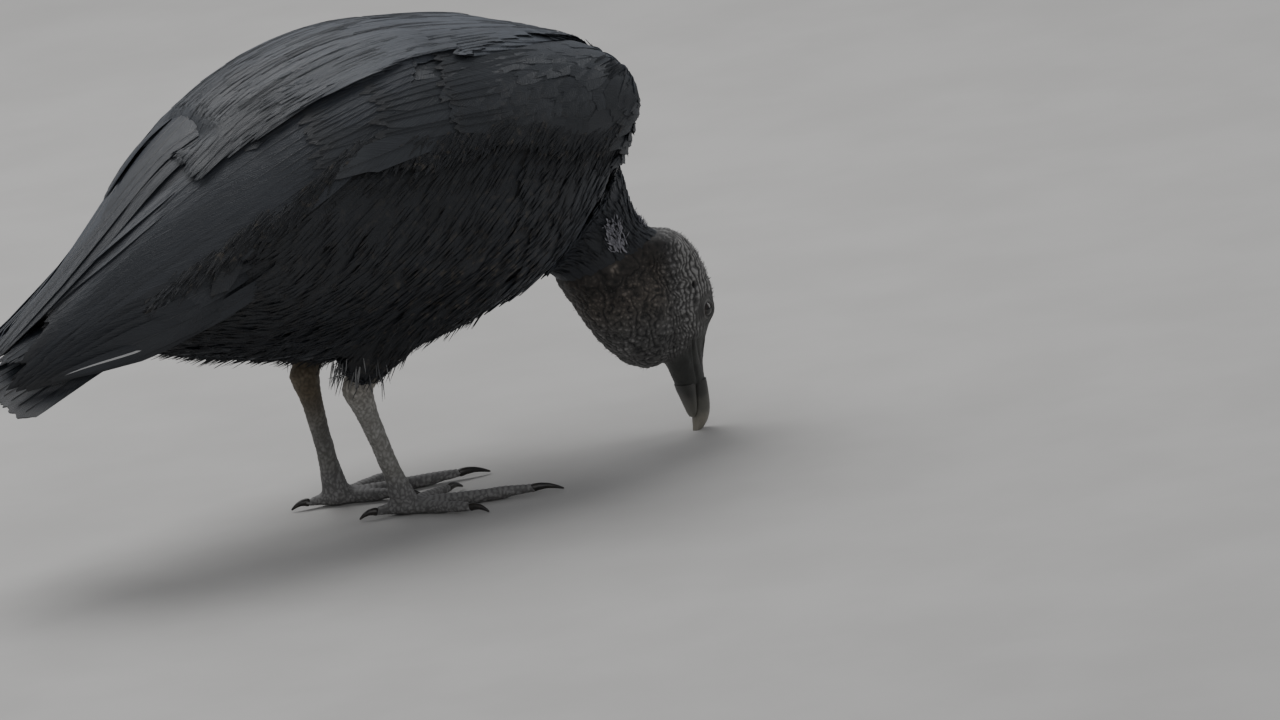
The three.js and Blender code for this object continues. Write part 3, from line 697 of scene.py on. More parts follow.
# %% Finishes of the skin
def head_finish():
    """Dark wrinkled skin, its ridges painted pale and its valleys painted dark as light and shade; smoother and darker
    towards the bill.
    """
    finish = Finish("head_skin", Roughness=0.62)
    finish.shader.inputs["Specular IOR Level"].default_value = 0.38
    finish.shader.inputs["Sheen Weight"].default_value = 0.12
    height, face, throat, light = finish.marks()
    cloud = finish.noise(finish.spot(), 90.0, 4.0)
    grain = finish.noise(finish.spot(), 900.0, 3.0)
    # painted light and shade: the height mark makes the ridges pale and the valleys dark
    wear_and_painted_light = finish.math("ADD", height, finish.math("MULTIPLY", finish.math("SUBTRACT", cloud, 0.5), 0.7))
    base = finish.ramp(wear_and_painted_light, [(0.08, (0.016, 0.016, 0.016)), (0.55, (0.070, 0.068, 0.066)), (1.0, (0.24, 0.235, 0.23))])
    smooth = finish.ramp(cloud, [(0.3, (0.024, 0.025, 0.023)), (0.75, (0.048, 0.049, 0.045))])
    base = finish.mix(face, base, smooth)
    brown = finish.mix(1.0, base, (1.0, 0.87, 0.75, 1), "MULTIPLY")
    base = finish.mix(throat, base, brown)
    # painted shade where the light mark is low, on the throat under the ruff
    base = finish.mix(light, finish.mix(1.0, base, (0.2, 0.2, 0.22, 1), "MULTIPLY"), base)
    finish.links.new(base, finish.shader.inputs["Base Color"])
    finish.links.new(finish.bump(grain, 0.0003), finish.shader.inputs["Normal"])
    return finish.material


def leg_finish():
    """Pale scaly skin, stained above and muddy below; the toes are dark grey. Painted shade on the far leg and low
    down.
    """
    finish = Finish("leg_skin", Roughness=0.6)
    pattern, low, stain, light = finish.marks()
    cloud = finish.noise(finish.spot(), 70.0, 4.0)
    grain = finish.noise(finish.spot(), 800.0, 3.0)
    pale = finish.ramp(pattern, [(0.0, (0.17, 0.165, 0.152)), (0.5, (0.27, 0.265, 0.25)), (1.0, (0.36, 0.352, 0.335))])
    dark = finish.ramp(pattern, [(0.0, (0.16, 0.156, 0.152)), (1.0, (0.34, 0.334, 0.328))])
    blotch = finish.ramp(cloud, [(0.42, 0.0), (0.68, 1.0)])
    base = finish.mix(finish.math("MULTIPLY", blotch, 0.45), pale, (0.16, 0.152, 0.135, 1))
    yellow = finish.mix(1.0, base, (0.74, 0.60, 0.42, 1), "MULTIPLY")
    base = finish.mix(stain, base, yellow)
    edge = finish.math("ADD", low, finish.math("MULTIPLY", finish.math("SUBTRACT", cloud, 0.5), 0.6))
    base = finish.mix(finish.ramp(edge, [(0.25, 0.0), (0.7, 1.0)]), base, dark)
    # painted shade where the light mark is low: the far leg and the lowest part of the near one
    base = finish.mix(light, finish.mix(1.0, base, (0.4, 0.4, 0.4, 1), "MULTIPLY"), base)
    finish.links.new(base, finish.shader.inputs["Base Color"])
    finish.links.new(finish.bump(grain, 0.0004), finish.shader.inputs["Normal"])
    return finish.material


def covered_finish():
    """Plain dark skin under the feathers."""
    finish = Finish("covered_skin", Roughness=0.8)
    cloud = finish.noise(finish.spot(), 120.0, 3.0)
    finish.links.new(finish.ramp(cloud, [(0.3, (0.014, 0.014, 0.015)), (0.7, (0.026, 0.026, 0.028))]),
                     finish.shader.inputs["Base Color"])
    return finish.material


def make_skin():
    """The skin as one object."""
    skin = object_of("skin", skin_mesh)
    skin_mesh.materials.clear()
    for material in (covered_finish(), head_finish(), leg_finish()):
        skin_mesh.materials.append(material)
    count = len(skin_mesh.polygons)
    middles = np.empty(count * 3)
    skin_mesh.polygons.foreach_get("center", middles)
    middles = middles.reshape(-1, 3)
    which = np.zeros(count, np.int32)
    which[(bareness(middles) > -12) & (stance(middles)[:, 0] > 120)] = 1
    which[(legness(middles) > 0.15) & (stance(middles)[:, 0] < 110)] = 2
    skin_mesh.polygons.foreach_set("material_index", which)
    skin_mesh.polygons.foreach_set("use_smooth", np.ones(count, bool))
    skin_mesh.update()
    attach(skin, "root")
    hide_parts(*FLESH)
    skin_mesh.calc_loop_triangles()
    print("skin:", len(skin_mesh.loop_triangles), "triangles")


make_skin()

# %% [markdown]
# ## The surface that feathers lie on
#
# Feathers don't follow the skin itself: they are long, so they lie on each other and together make a smooth
# closed outline. That outline is what the solids of the body and wings have. Fused and smoothed, it becomes the
# guide. A place can be snapped to it, which gives the nearest point and a smooth normal there.


# %% A guide to snap to
class Surface:
    """A mesh that places can be snapped to."""

    def __init__(self, mesh):
        mesh.calc_loop_triangles()
        corners = np.empty(len(mesh.loop_triangles) * 3, np.int64)
        mesh.loop_triangles.foreach_get("vertices", corners)
        self.mesh = mesh
        self.triangles = corners.reshape(-1, 3)
        self.points = points_of(mesh)
        self.normals = normals_of(mesh)
        self.tree = BVHTree.FromPolygons(self.points.tolist(), self.triangles.tolist())

    def nearest(self, points):
        """Nearest places, the triangles that they are on, and the shares of the triangles' corners."""
        found = [self.tree.find_nearest(p) for p in np.asarray(points, float).tolist()]
        places = np.array([f[0] for f in found])
        index = np.array([f[2] for f in found])
        a, b, c = (self.points[self.triangles[index, k]] for k in range(3))
        whole = np.cross(b - a, c - a)
        area = np.maximum((whole * whole).sum(1), 1e-20)
        share_a = (np.cross(b - places, c - places) * whole).sum(1) / area
        share_b = (np.cross(c - places, a - places) * whole).sum(1) / area
        shares = np.clip(np.column_stack([share_a, share_b, 1 - share_a - share_b]), 0, 1)
        return places, index, shares / shares.sum(1, keepdims=True)

    def snap(self, points):
        """Nearest places and the smooth normals there."""
        places, index, shares = self.nearest(points)
        normals = (self.normals[self.triangles[index]] * shares[:, :, None]).sum(1)
        return places, unit(normals)

    def distance(self, points):
        """How far away the surface is, in metres."""
        return np.array([self.tree.find_nearest(p)[3] for p in np.asarray(points, float).tolist()])


WING_PARTS = ["coverts", "secondaries", "primaries"]
WINGS = [f"wing_{side_name}_{part}" for side_name in SIDES for part in WING_PARTS]
PLUMED = ["trunk", "neck_lower", "neck_upper", "thigh_left", "thigh_right"]
guide = Surface(fused(PLUMED + WINGS, 0.0032, 9))
print("guide:", len(guide.triangles), "triangles")

# %% [markdown]
# Which kind of feather grows at a place depends on which part of the bird is nearest. One search tree for each
# part answers that for thousands of places at once.

# %% Which part is nearest
PART_TREES = {name: Surface(copy_of(name, 0)) for name in PLUMED + WINGS}


def nearest_part(points):
    """The name of the nearest part for each place."""
    names = list(PART_TREES)
    distances = np.array([PART_TREES[name].distance(points) for name in names])
    return np.array(names)[distances.argmin(0)]


# %% [markdown]
# Feathers lie away from the head. How they lie at each place is blended from a short list of places with a
# direction each, given for the right side and mirrored for the left. Nearer entries count for more.

# %% The lie of the feathers
LIE = [
    # place on the right side, mm   direction: ahead, out to the side, up
    ((190, -14, 120), (-0.25, 0.0, 0.97)),  # nape
    ((178, -10, 175), (-0.25, 0.0, 0.97)),  # hind neck
    ((140, -10, 100), (-0.72, 0.1, 0.50)),  # foreneck
    ((122, -8, 120), (-0.96, 0.0, 0.05)),  # foot of the foreneck
    ((160, -42, 110), (-0.55, 0.1, 0.80)),  # side of the neck
    ((158, -44, 160), (-0.70, 0.2, 0.55)),  # root of the neck
    ((165, -30, 235), (-0.75, 0.1, 0.62)),  # between the shoulders
    ((140, -40, 250), (-0.97, 0.1, 0.20)),
    ((160, -80, 205), (-0.55, 0.1, -0.83)),  # wrist
    ((140, -85, 160), (-0.62, 0.0, -0.78)),  # side of the breast
    ((95, -80, 125), (-0.80, 0.2, -0.52)),
    ((90, -20, 98), (-1.0, 0.0, -0.05)),  # breast
    ((60, -95, 190), (-0.72, 0.0, -0.68)),
    ((40, -85, 130), (-0.84, 0.2, -0.48)),
    ((20, -20, 90), (-1.0, 0.0, 0.0)),  # belly
    ((-30, -92, 185), (-0.80, 0.0, -0.58)),  # flank
    ((-50, -75, 125), (-0.92, 0.2, -0.34)),
    ((-60, -20, 100), (-1.0, 0.0, 0.05)),
    ((-110, -60, 140), (-0.96, 0.2, -0.20)),
    ((-140, -15, 118), (-1.0, 0.0, 0.05)),  # vent
    ((120, -90, 225), (-0.78, 0.0, -0.60)),  # wing, front
    ((70, -92, 228), (-0.84, 0.0, -0.52)),
    ((20, -80, 250), (-0.93, 0.0, -0.32)),
    ((-40, -85, 220), (-0.92, 0.1, -0.38)),
    ((-100, -65, 195), (-0.93, 0.2, -0.36)),
    ((-170, -35, 165), (-0.90, 0.2, -0.42)),
    ((110, -45, 256), (-1.0, 0.0, 0.05)),  # mantle
    ((40, -40, 272), (-1.0, 0.0, -0.05)),
    ((-40, -45, 262), (-0.97, 0.0, -0.22)),
    ((-110, -20, 235), (-0.92, 0.0, -0.40)),
    ((10, -52, 112), (-0.62, 0.0, -0.78)),  # thigh
    ((-12, -38, 92), (-0.42, 0.0, -0.90)),
]
LIE_BLUR = 26.0
LIE_PLACES = np.array([place_mm for place_mm, _ in LIE], float)
LIE_WAYS = unit([way for _, way in LIE])


def lie(points, normals):
    """The direction in which feathers lie at each place, along the surface."""
    feet = stance(points)
    side = np.where(feet[:, 1:2] > 0, 1.0, -1.0)
    mirrored = np.column_stack([feet[:, 0], -np.abs(feet[:, 1]), feet[:, 2]])
    gap = np.linalg.norm(mirrored[:, None, :] - LIE_PLACES[None], axis=2)
    weight = 1 / (LIE_BLUR ** 2 + gap ** 2) ** 2.5
    way = (weight[:, :, None] * LIE_WAYS[None]).sum(1)
    way[:, 1] *= side[:, 0]
    way -= (way * normals).sum(1, keepdims=True) * normals
    return unit(way)


print("lie at the belly:", lie(place([[20, 0, 90]]), np.array([[0, 0, -1.0]])).round(2))

# %% [markdown]
# Real feathers grow in even rows with small irregularities. Scattering with a least distance between roots gives
# that evenness without rows that a viewer could count: many random places are drawn on the guide, and a place is
# kept only while it isn't too near to one already kept. The least distance can change from place to place.


# %% Scatter roots
def scatter(surface, spacing_at, seed, density=7.0):
    """Evenly irregular places on a surface, and their normals. spacing_at gives metres for each place, or 0 for none."""
    random = np.random.default_rng(seed)
    a, b, c = (surface.points[surface.triangles[:, k]] for k in range(3))
    middles = (a + b + c) / 3
    spacing = spacing_at(middles)
    area = np.linalg.norm(np.cross(b - a, c - a), axis=1) / 2
    wanted = np.where(spacing > 0, area / np.maximum(spacing, 1e-4) ** 2, 0)
    total = int(wanted.sum() * density)
    pick = random.choice(len(wanted), total, p=wanted / wanted.sum())
    u, v = random.random((2, total))
    fold = u + v > 1
    u = np.where(fold, 1 - u, u)
    v = np.where(fold, 1 - v, v)
    spots = a[pick] + u[:, None] * (b - a)[pick] + v[:, None] * (c - a)[pick]
    near = spacing[pick]
    tree = kdtree.KDTree(total)
    for i, spot in enumerate(spots.tolist()):
        tree.insert(spot, i)
    tree.balance()
    free = np.ones(total, bool)
    kept = []
    for i in range(total):
        if free[i]:
            kept.append(i)
            for _, j, _ in tree.find_range(spots[i], near[i]):
                free[j] = False
    return surface.snap(spots[kept])


def trails(roots, lengths, rows, surface, way_at=None):
    """Paths of a few points each that start at the roots and follow the lie on a surface, and their normals."""
    way_at = way_at or lie
    places, normals = surface.snap(roots)
    path, lifts = [places], [normals]
    way = way_at(places, normals)
    for _ in range(rows - 1):
        places, normals = surface.snap(places + way * (lengths / (rows - 1))[:, None])
        path.append(places)
        lifts.append(normals)
        way = unit(0.5 * way + 0.5 * way_at(places, normals))
        way = unit(way - (way * normals).sum(1, keepdims=True) * normals)
    return np.stack(path, 1), np.stack(lifts, 1)


# %% [markdown]
# ## A feather
#
# Every feather here is a vane: a thin closed sheet, thickest along its shaft and sharp at its rim, so that it
# is a solid and not a bare plane. A vane is a grid of rows along the shaft and columns across it. The columns
# reach different lengths, which rounds the tip, and a little chance in their reach makes it ragged. All vanes of
# a tract share one grid, so numpy makes thousands of them in one go.

# %% Vanes
WIDTH_ROWS = {
    "contour": ([0.0, 0.15, 0.45, 0.75, 0.92, 1.0], [0.25, 0.55, 0.95, 1.0, 0.8, 0.5]),
    "flight": ([0.0, 0.06, 0.2, 0.7, 0.93, 1.0], [0.3, 0.7, 0.95, 1.0, 0.85, 0.55]),
    "tail": ([0.0, 0.2, 0.9, 1.0], [0.4, 0.85, 1.0, 0.92]),
    "lock": ([0.0, 0.1, 0.4, 0.8, 1.0], [0.6, 0.9, 1.0, 0.6, 0.12]),
}


def along_path(path, t):
    """Points of each path at shares t of its length; path is (n, rows, 3) and t is (n, ...)."""
    rows = path.shape[1]
    at = np.clip(t, 0, 1) * (rows - 1)
    low = np.minimum(at.astype(int), rows - 2)
    part = (at - low)[..., None]
    index = np.arange(len(path)).reshape((-1,) + (1,) * (t.ndim - 1))
    beyond = np.maximum(t - 1, 0)[..., None] * (path[index, rows - 1] - path[index, rows - 2]) * (rows - 1)
    return path[index, low] * (1 - part) + path[index, low + 1] * part + beyond


def vanes(path, normals, half_width, rows, columns, shape="contour", tip_round=0.25, ragged=0.0,
          camber=0.12, thickness=0.0005, random=None, lean=None):
    """Closed vanes: points (n, rows * ring, 3), each point's place on its vane, and which way the vane faces."""
    n = len(path)
    side = unit(np.cross(np.gradient(path, axis=1), normals))
    across = np.linspace(-1, 1, columns + 1)
    reach = 1 - tip_round * np.abs(across) ** 2.2 + np.zeros((n, 1))
    if ragged:
        reach = reach - ragged * random.random((n, columns + 1)) ** 2
    ring_across = np.concatenate([across, across[-2:0:-1]])
    ring_reach = np.concatenate([reach, reach[:, -2:0:-1]], axis=1)
    ring_side = np.concatenate([np.ones(columns + 1), -np.ones(columns - 1)])
    t = np.linspace(0, 1, rows)[None, :, None] * ring_reach[:, None, :]
    width = np.interp(t, *WIDTH_ROWS[shape]) * np.asarray(half_width, float).reshape(-1, 1, 1)
    shift = ring_across[None, None] * width
    if lean is not None:
        shift = shift + np.asarray(lean, float).reshape(-1, 1, 1) * width * (1 - ring_across ** 2)[None, None]
    rise = -camber * ring_across[None, None] ** 2 * width
    rise = rise + ring_side * 0.5 * thickness * np.sqrt(np.maximum(1 - ring_across ** 2, 0))
    facing = along_path(normals, t)
    points = along_path(path, t) + along_path(side, t) * shift[..., None] + facing * rise[..., None]
    vane_uv = np.stack(np.broadcast_arrays((ring_across[None, None] + 1) / 2, t), axis=-1)
    return points.reshape(n, -1, 3), vane_uv.reshape(n, -1, 2), facing.reshape(n, -1, 3)


def vane_faces(rows, columns):
    """Four-cornered and three-cornered faces of one vane's grid, and 1 or -1 for its two sides."""
    ring = 2 * columns
    quads = []
    upside = []
    for row in range(rows - 1):
        for i in range(ring):
            j = (i + 1) % ring
            quads.append((row * ring + i, row * ring + j, (row + 1) * ring + j, (row + 1) * ring + i))
            upside.append(1 if i < columns else -1)
    corners = []
    for row, turned in ((0, False), (rows - 1, True)):
        first = row * ring
        below = [first + (ring - c) % ring for c in range(columns + 1)]
        for c in range(columns):
            face = [first + c, below[c], below[c + 1], first + c + 1]
            face = list(dict.fromkeys(face))
            face = face[::-1] if turned else face
            (quads if len(face) == 4 else corners).append(tuple(face))
    upside += [1] * (len(quads) - len(upside))
    return (np.array(quads), np.array(upside)), (np.array(corners), np.ones(len(corners)))


# %% [markdown]
# A piece of coat is many vanes joined in one mesh. Besides the faces it carries two UV maps and one set of
# marks. The map "vane" says where on its own feather a point lies, which the finish uses for barbs. The map
# "OFBake" gives each feather a patch of its own, at its root's place on an unwrap of the skin's shape. The
# marks are four numbers: how much painted sheen the feather gets, that is the overhead lamp's blue-grey
# reflection painted into its colour (on bristles and down a paler tone of their own), how white, how dusty, and
# one of pure chance. The normals are mostly those of the surface below: barbs hook together across feathers, so
# the coat shades as one sheet.


# %% Join vanes into a piece of coat
class Coat:
    """Collects vanes and makes one object of them."""

    def __init__(self, name, sleek=0.7):
        self.name = name
        self.sleek = sleek
        self.points, self.vane_uv, self.roots, self.marks, self.faces = [], [], [], [], []
        self.facing, self.upside = [], []
        self.count = 0

    def add(self, facing, points, vane_uv, rows, columns, roots, marks):
        """Adds vanes of one grid: roots (n, 3) for the bake map and marks (n, 4) or (n, points, 4)."""
        n, each = points.shape[:2]
        marks = np.asarray(marks, float)
        if marks.ndim == 2:
            marks = np.repeat(marks[:, None, :], each, axis=1)
        starts = self.count + np.arange(n)[:, None, None] * each
        for faces, upside in vane_faces(rows, columns):
            if len(faces):
                self.faces.append((faces[None] + starts).reshape(-1, faces.shape[1]))
                self.upside.append(np.repeat(np.tile(upside, n), faces.shape[1]))
        self.facing.append(facing.reshape(-1, 3))
        self.points.append(points.reshape(-1, 3))
        self.vane_uv.append(vane_uv.reshape(-1, 2))
        self.roots.append(np.repeat(roots, each, axis=0))
        self.marks.append(marks.reshape(-1, 4))
        self.count += n * each

    def triangles(self):
        """How many triangles the piece has so far."""
        return sum(len(f) * (f.shape[1] - 2) for f in self.faces)

    def make(self, finish, slot, *replaced):
        """The finished object."""
        points = np.concatenate(self.points)
        mesh = bpy.data.meshes.new(self.name)
        corners = np.concatenate([f.ravel() for f in self.faces])
        sizes = np.concatenate([np.full(len(f), f.shape[1]) for f in self.faces])
        mesh.vertices.add(len(points))
        mesh.vertices.foreach_set("co", points.astype(np.float32).ravel())
        mesh.loops.add(len(corners))
        mesh.loops.foreach_set("vertex_index", corners.astype(np.int32))
        mesh.polygons.add(len(sizes))
        mesh.polygons.foreach_set("loop_start", np.concatenate([[0], np.cumsum(sizes)[:-1]]).astype(np.int32))
        mesh.polygons.foreach_set("loop_total", sizes.astype(np.int32))
        mesh.polygons.foreach_set("use_smooth", np.ones(len(sizes), bool))
        mesh.update(calc_edges=True)
        mesh.set_sharp_from_angle(angle=math.radians(50))
        real = np.empty(len(corners) * 3, np.float32)
        mesh.corner_normals.foreach_get("vector", real)
        real = real.reshape(-1, 3).astype(float)
        sheet = np.concatenate(self.facing)[corners] * np.concatenate(self.upside)[:, None]
        sheet = unit(self.sleek * sheet + (1 - self.sleek) * real)
        mesh.normals_split_custom_set(sheet.astype(np.float32))
        vane_uv = np.concatenate(self.vane_uv)
        patch = bake_place(np.concatenate(self.roots)) + (vane_uv - 0.5) * BAKE_PATCH
        for map_name, values in (("OFBake", patch), ("vane", vane_uv)):
            layer = mesh.uv_layers.new(name=map_name)
            layer.data.foreach_set("uv", values[corners].astype(np.float32).ravel())
        mesh.uv_layers.active = mesh.uv_layers["OFBake"]
        layer = mesh.attributes.new("marks", "FLOAT_COLOR", "POINT")
        layer.data.foreach_set("color", np.concatenate(self.marks).astype(np.float32).ravel())
        mesh.materials.append(finish)
        obj = object_of(self.name, mesh)
        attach(obj, "root")
        if replaced:
            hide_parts(*replaced)
        print(self.name, self.triangles(), "triangles")
        return obj


# %% [markdown]
# The unwrap for the bake map is made on a light copy of the skin's shape, with Smart UV Project, which cuts the
# body into flat islands that don't overlap. A feather then looks up the place of its root on that unwrap.

# %% Unwrap the skin's shape
BAKE_PATCH = 0.003


def unwrapped(mesh):
    """A surface with a place on the unwrap for each corner of each of its triangles."""
    obj = object_of("unwrap", mesh)
    bpy.context.view_layer.objects.active = obj
    obj.select_set(True)
    bpy.ops.object.mode_set(mode="EDIT")
    bpy.ops.mesh.select_all(action="SELECT")
    bpy.ops.uv.smart_project(angle_limit=math.radians(66), island_margin=0.004)
    bpy.ops.object.mode_set(mode="OBJECT")
    surface = Surface(mesh)
    loops = np.empty(len(mesh.loop_triangles) * 3, np.int64)
    mesh.loop_triangles.foreach_get("loops", loops)
    uv = np.empty(len(mesh.loops) * 2)
    mesh.uv_layers.active.data.foreach_get("uv", uv)
    surface.uv = uv.reshape(-1, 2)[loops.reshape(-1, 3)]
    bpy.data.objects.remove(obj)
    return surface


bake_shape = unwrapped(fused(FLESH + WINGS + ["tail"], 0.0045, 3))


def bake_place(roots):
    """The place on the unwrap for each root."""
    distinct, back = np.unique(np.round(roots, 6), axis=0, return_inverse=True)
    _, index, shares = bake_shape.nearest(distinct)
    return (bake_shape.uv[index] * shares[:, :, None]).sum(1)[back.ravel()]


print("unwrap:", len(bake_shape.triangles), "triangles")

# %% [markdown]
# ## The small feathers
#
# The small feathers come in tracts. A tract has a region, a size, and a way to be built. Firm ones, on the back
# and wings, are plain vanes. Loose ones, on breast, belly and thighs, have barbs that don't hook together, so
# each is made of several narrow locks that fan out from the root. Every feather starts deep at its root and
# rises to its tip, so that it covers the roots of those behind it, as tiles do.

# %% Sizes of the tracts
TRACTS = {
    # apart, long and half width in mm; deep at the root and high at the tip in mm; locks for loose feathers;
    # painted sheen: how much of the overhead lamp's blue-grey reflection is painted into the colour
    "ruff": {"apart": 4.4, "long": 19, "half": 4.2, "deep": 2.6, "high": 0.3, "locks": 4, "tone_and_painted_sheen": 0.25},
    "breast": {"apart": 7.0, "long": 26, "half": 6.2, "deep": 3.6, "high": 0.2, "locks": 5, "tone_and_painted_sheen": 0.2},
    "flank": {"apart": 7.6, "long": 42, "half": 6.0, "deep": 4.2, "high": -0.4, "locks": 6, "tone_and_painted_sheen": 0.15},
    "belly": {"apart": 7.8, "long": 34, "half": 6.0, "deep": 4.0, "high": 0.5, "locks": 6, "tone_and_painted_sheen": 0.05},
    "thigh": {"apart": 5.4, "long": 24, "half": 4.6, "deep": 3.0, "high": 0.8, "locks": 5, "tone_and_painted_sheen": 0.05},
    "mantle": {"apart": 8.0, "long": 36, "half": 8.0, "deep": 3.0, "high": -0.6, "locks": 0, "tone_and_painted_sheen": 0.25},
    "rump": {"apart": 8.5, "long": 34, "half": 7.5, "deep": 4.0, "high": -1.6, "locks": 0, "tone_and_painted_sheen": 0.3},
    "coverts": {"apart": 6.6, "long": 31, "half": 6.8, "deep": 1.6, "high": 0.15, "locks": 0, "tone_and_painted_sheen": 0.17},
}
TRACT_NAMES = list(TRACTS)
# The lower edge of the folded wing: how high it is at each place ahead, mm
WING_EDGE = ([-208, -152, -69, -23, 13, 74, 126, 154], [140, 167, 204, 232, 218, 217, 194, 196])


def tract_of(points, normals):
    """The tract that each place belongs to, as a number, or -1 where other feathers grow."""
    part = nearest_part(points)
    feet = stance(points)
    out = np.abs(feet[:, 1])
    tract = np.full(len(points), TRACT_NAMES.index("flank"))
    body = np.isin(part, ["trunk", "thigh_left", "thigh_right"])
    under = body & (normals[:, 2] < -0.35)
    tract[under] = TRACT_NAMES.index("belly")
    tract[body & (feet[:, 0] > 85) & (normals[:, 2] < 0.6)] = TRACT_NAMES.index("breast")
    upper = body & (normals[:, 2] > 0.25) & (feet[:, 2] > 225)
    tract[upper] = TRACT_NAMES.index("mantle")
    tract[upper & (feet[:, 0] < -60)] = TRACT_NAMES.index("rump")
    tract[(part == "neck_lower") | (part == "neck_upper")] = TRACT_NAMES.index("ruff")
    leg = body & (feet[:, 2] < 112) & (feet[:, 0] < 34) & (feet[:, 0] > -40) & (out > 14) & (out < 64)
    tract[leg] = TRACT_NAMES.index("thigh")
    wing = np.char.startswith(part.astype(str), "wing")
    tract[wing] = -1
    low_edge = np.interp(feet[:, 0], *WING_EDGE) + 12
    tract[wing & (feet[:, 2] < low_edge) & (feet[:, 0] > 20)] = TRACT_NAMES.index("flank")
    coverts = np.char.endswith(part.astype(str), "coverts") & (feet[:, 2] >= low_edge)
    tract[coverts] = TRACT_NAMES.index("coverts")
    tract[bareness(points) > -1.5] = -1
    return tract


places_seen, normals_seen = guide.snap(guide.points[guide.triangles].mean(1))
TRIANGLE_TRACT = tract_of(places_seen, normals_seen)
print({name: int((TRIANGLE_TRACT == i).sum()) for i, name in enumerate(TRACT_NAMES)})


# %% Grow one tract
def tract_value(key, tract):
    """One size for each feather, by its tract."""
    return np.array([TRACTS[name][key] for name in TRACT_NAMES])[tract]


def rooted(path, normals, deep, high, curve=1.3, dip=0.0):
    """A path from deep under the surface to high above it, whose tip dips down again; all in metres."""
    t = np.linspace(0, 1, path.shape[1])[None, :, None]
    deep = np.asarray(deep, float).reshape(-1, 1, 1)
    high = np.asarray(high, float).reshape(-1, 1, 1)
    return path + normals * (high * t - deep * (1 - t) ** curve - dip * soft_step(t, 0.6, 1.0))


def feather_marks(count, tone_and_painted_sheen, random, white=0.0, dust=0.0):
    """The four marks of each feather; the first is painted sheen (a paler tone of their own on bristles and down)."""
    marks = np.empty((count, 4))
    marks[:, 0] = tone_and_painted_sheen
    marks[:, 1] = white
    marks[:, 2] = dust
    marks[:, 3] = random.random(count)
    return marks


def grow_firm(coat, roots, sizes, marks, random, rows=8, columns=6, ragged=0.3, **shape):
    """Plain vanes from these roots; sizes holds long, half, deep and high in metres for each."""
    long, half, deep, high = sizes
    path, normals = trails(roots, long, rows, guide)
    path = rooted(path, normals, deep, high, dip=0.0005)
    points, vane_uv, facing = vanes(path, normals, half, rows, columns, ragged=ragged, camber=0.04, random=random, **shape)
    coat.add(facing, points, vane_uv, rows, columns, roots, marks)


LOCK_ROWS = 5


def grow_loose(coat, roots, sizes, marks, random, locks, fan=1.0, rows=LOCK_ROWS):
    """Locks that fan out from these roots, a few for each feather."""
    long, half, deep, high = sizes
    path, normals = trails(roots, long, rows, guide)
    path = rooted(path, normals, deep, high)
    side = unit(np.cross(np.gradient(path, axis=1), normals))
    t = np.linspace(0, 1, rows)[None, :, None]
    for lock in range(locks):
        place_across = (lock + 0.5) / locks * 2 - 1
        n = len(roots)
        across = place_across + random.uniform(-0.25, 0.25, n)
        spread = (across * half * fan)[:, None, None] * np.sin(t * math.pi / 2) ** 0.8
        wave = random.uniform(-0.7, 0.7, (n, 1, 1)) * MM * np.sin(t * math.pi * random.uniform(0.8, 1.8, (n, 1, 1)))
        lifted = random.uniform(-0.35, 0.55, (n, 1, 1)) * MM * t ** 1.5
        reach = (1 - 0.28 * np.abs(across) + random.uniform(-0.16, 0.10, n))[:, None]
        bent = path + side * (spread + wave) + normals * lifted
        bent = along_path(bent, t[..., 0] * reach)
        points, vane_uv, facing = vanes(bent, normals, half * 1.25 / locks, rows, 2, shape="lock", tip_round=0.0,
                                camber=0.1, thickness=0.0006)
        vane_uv = vane_uv * [0.7 / locks, 1.0] + [0.5 + 0.42 * place_across, 0.0]
        coat.add(facing, points, vane_uv, rows, 2, roots, marks)


def tract_sizes(tract, random, scale=1.0):
    """Long, half, deep and high for each feather in metres, with a little chance."""
    chance = random.uniform(0.86, 1.14, len(tract)) * scale
    keys = ("long", "half", "deep", "high")
    long, half, deep, high = (tract_value(key, tract) * MM for key in keys)
    return long * chance, half * chance ** 0.5, deep, high


EDGE_SINK = 2.6


def under_wing(points):
    """1 for places just under or above the wing's lower edge, where the body's feathers lie deeper."""
    feet = stance(points)
    edge = np.interp(feet[:, 0], *WING_EDGE)
    return soft_step(feet[:, 2], edge - 34, edge - 8)
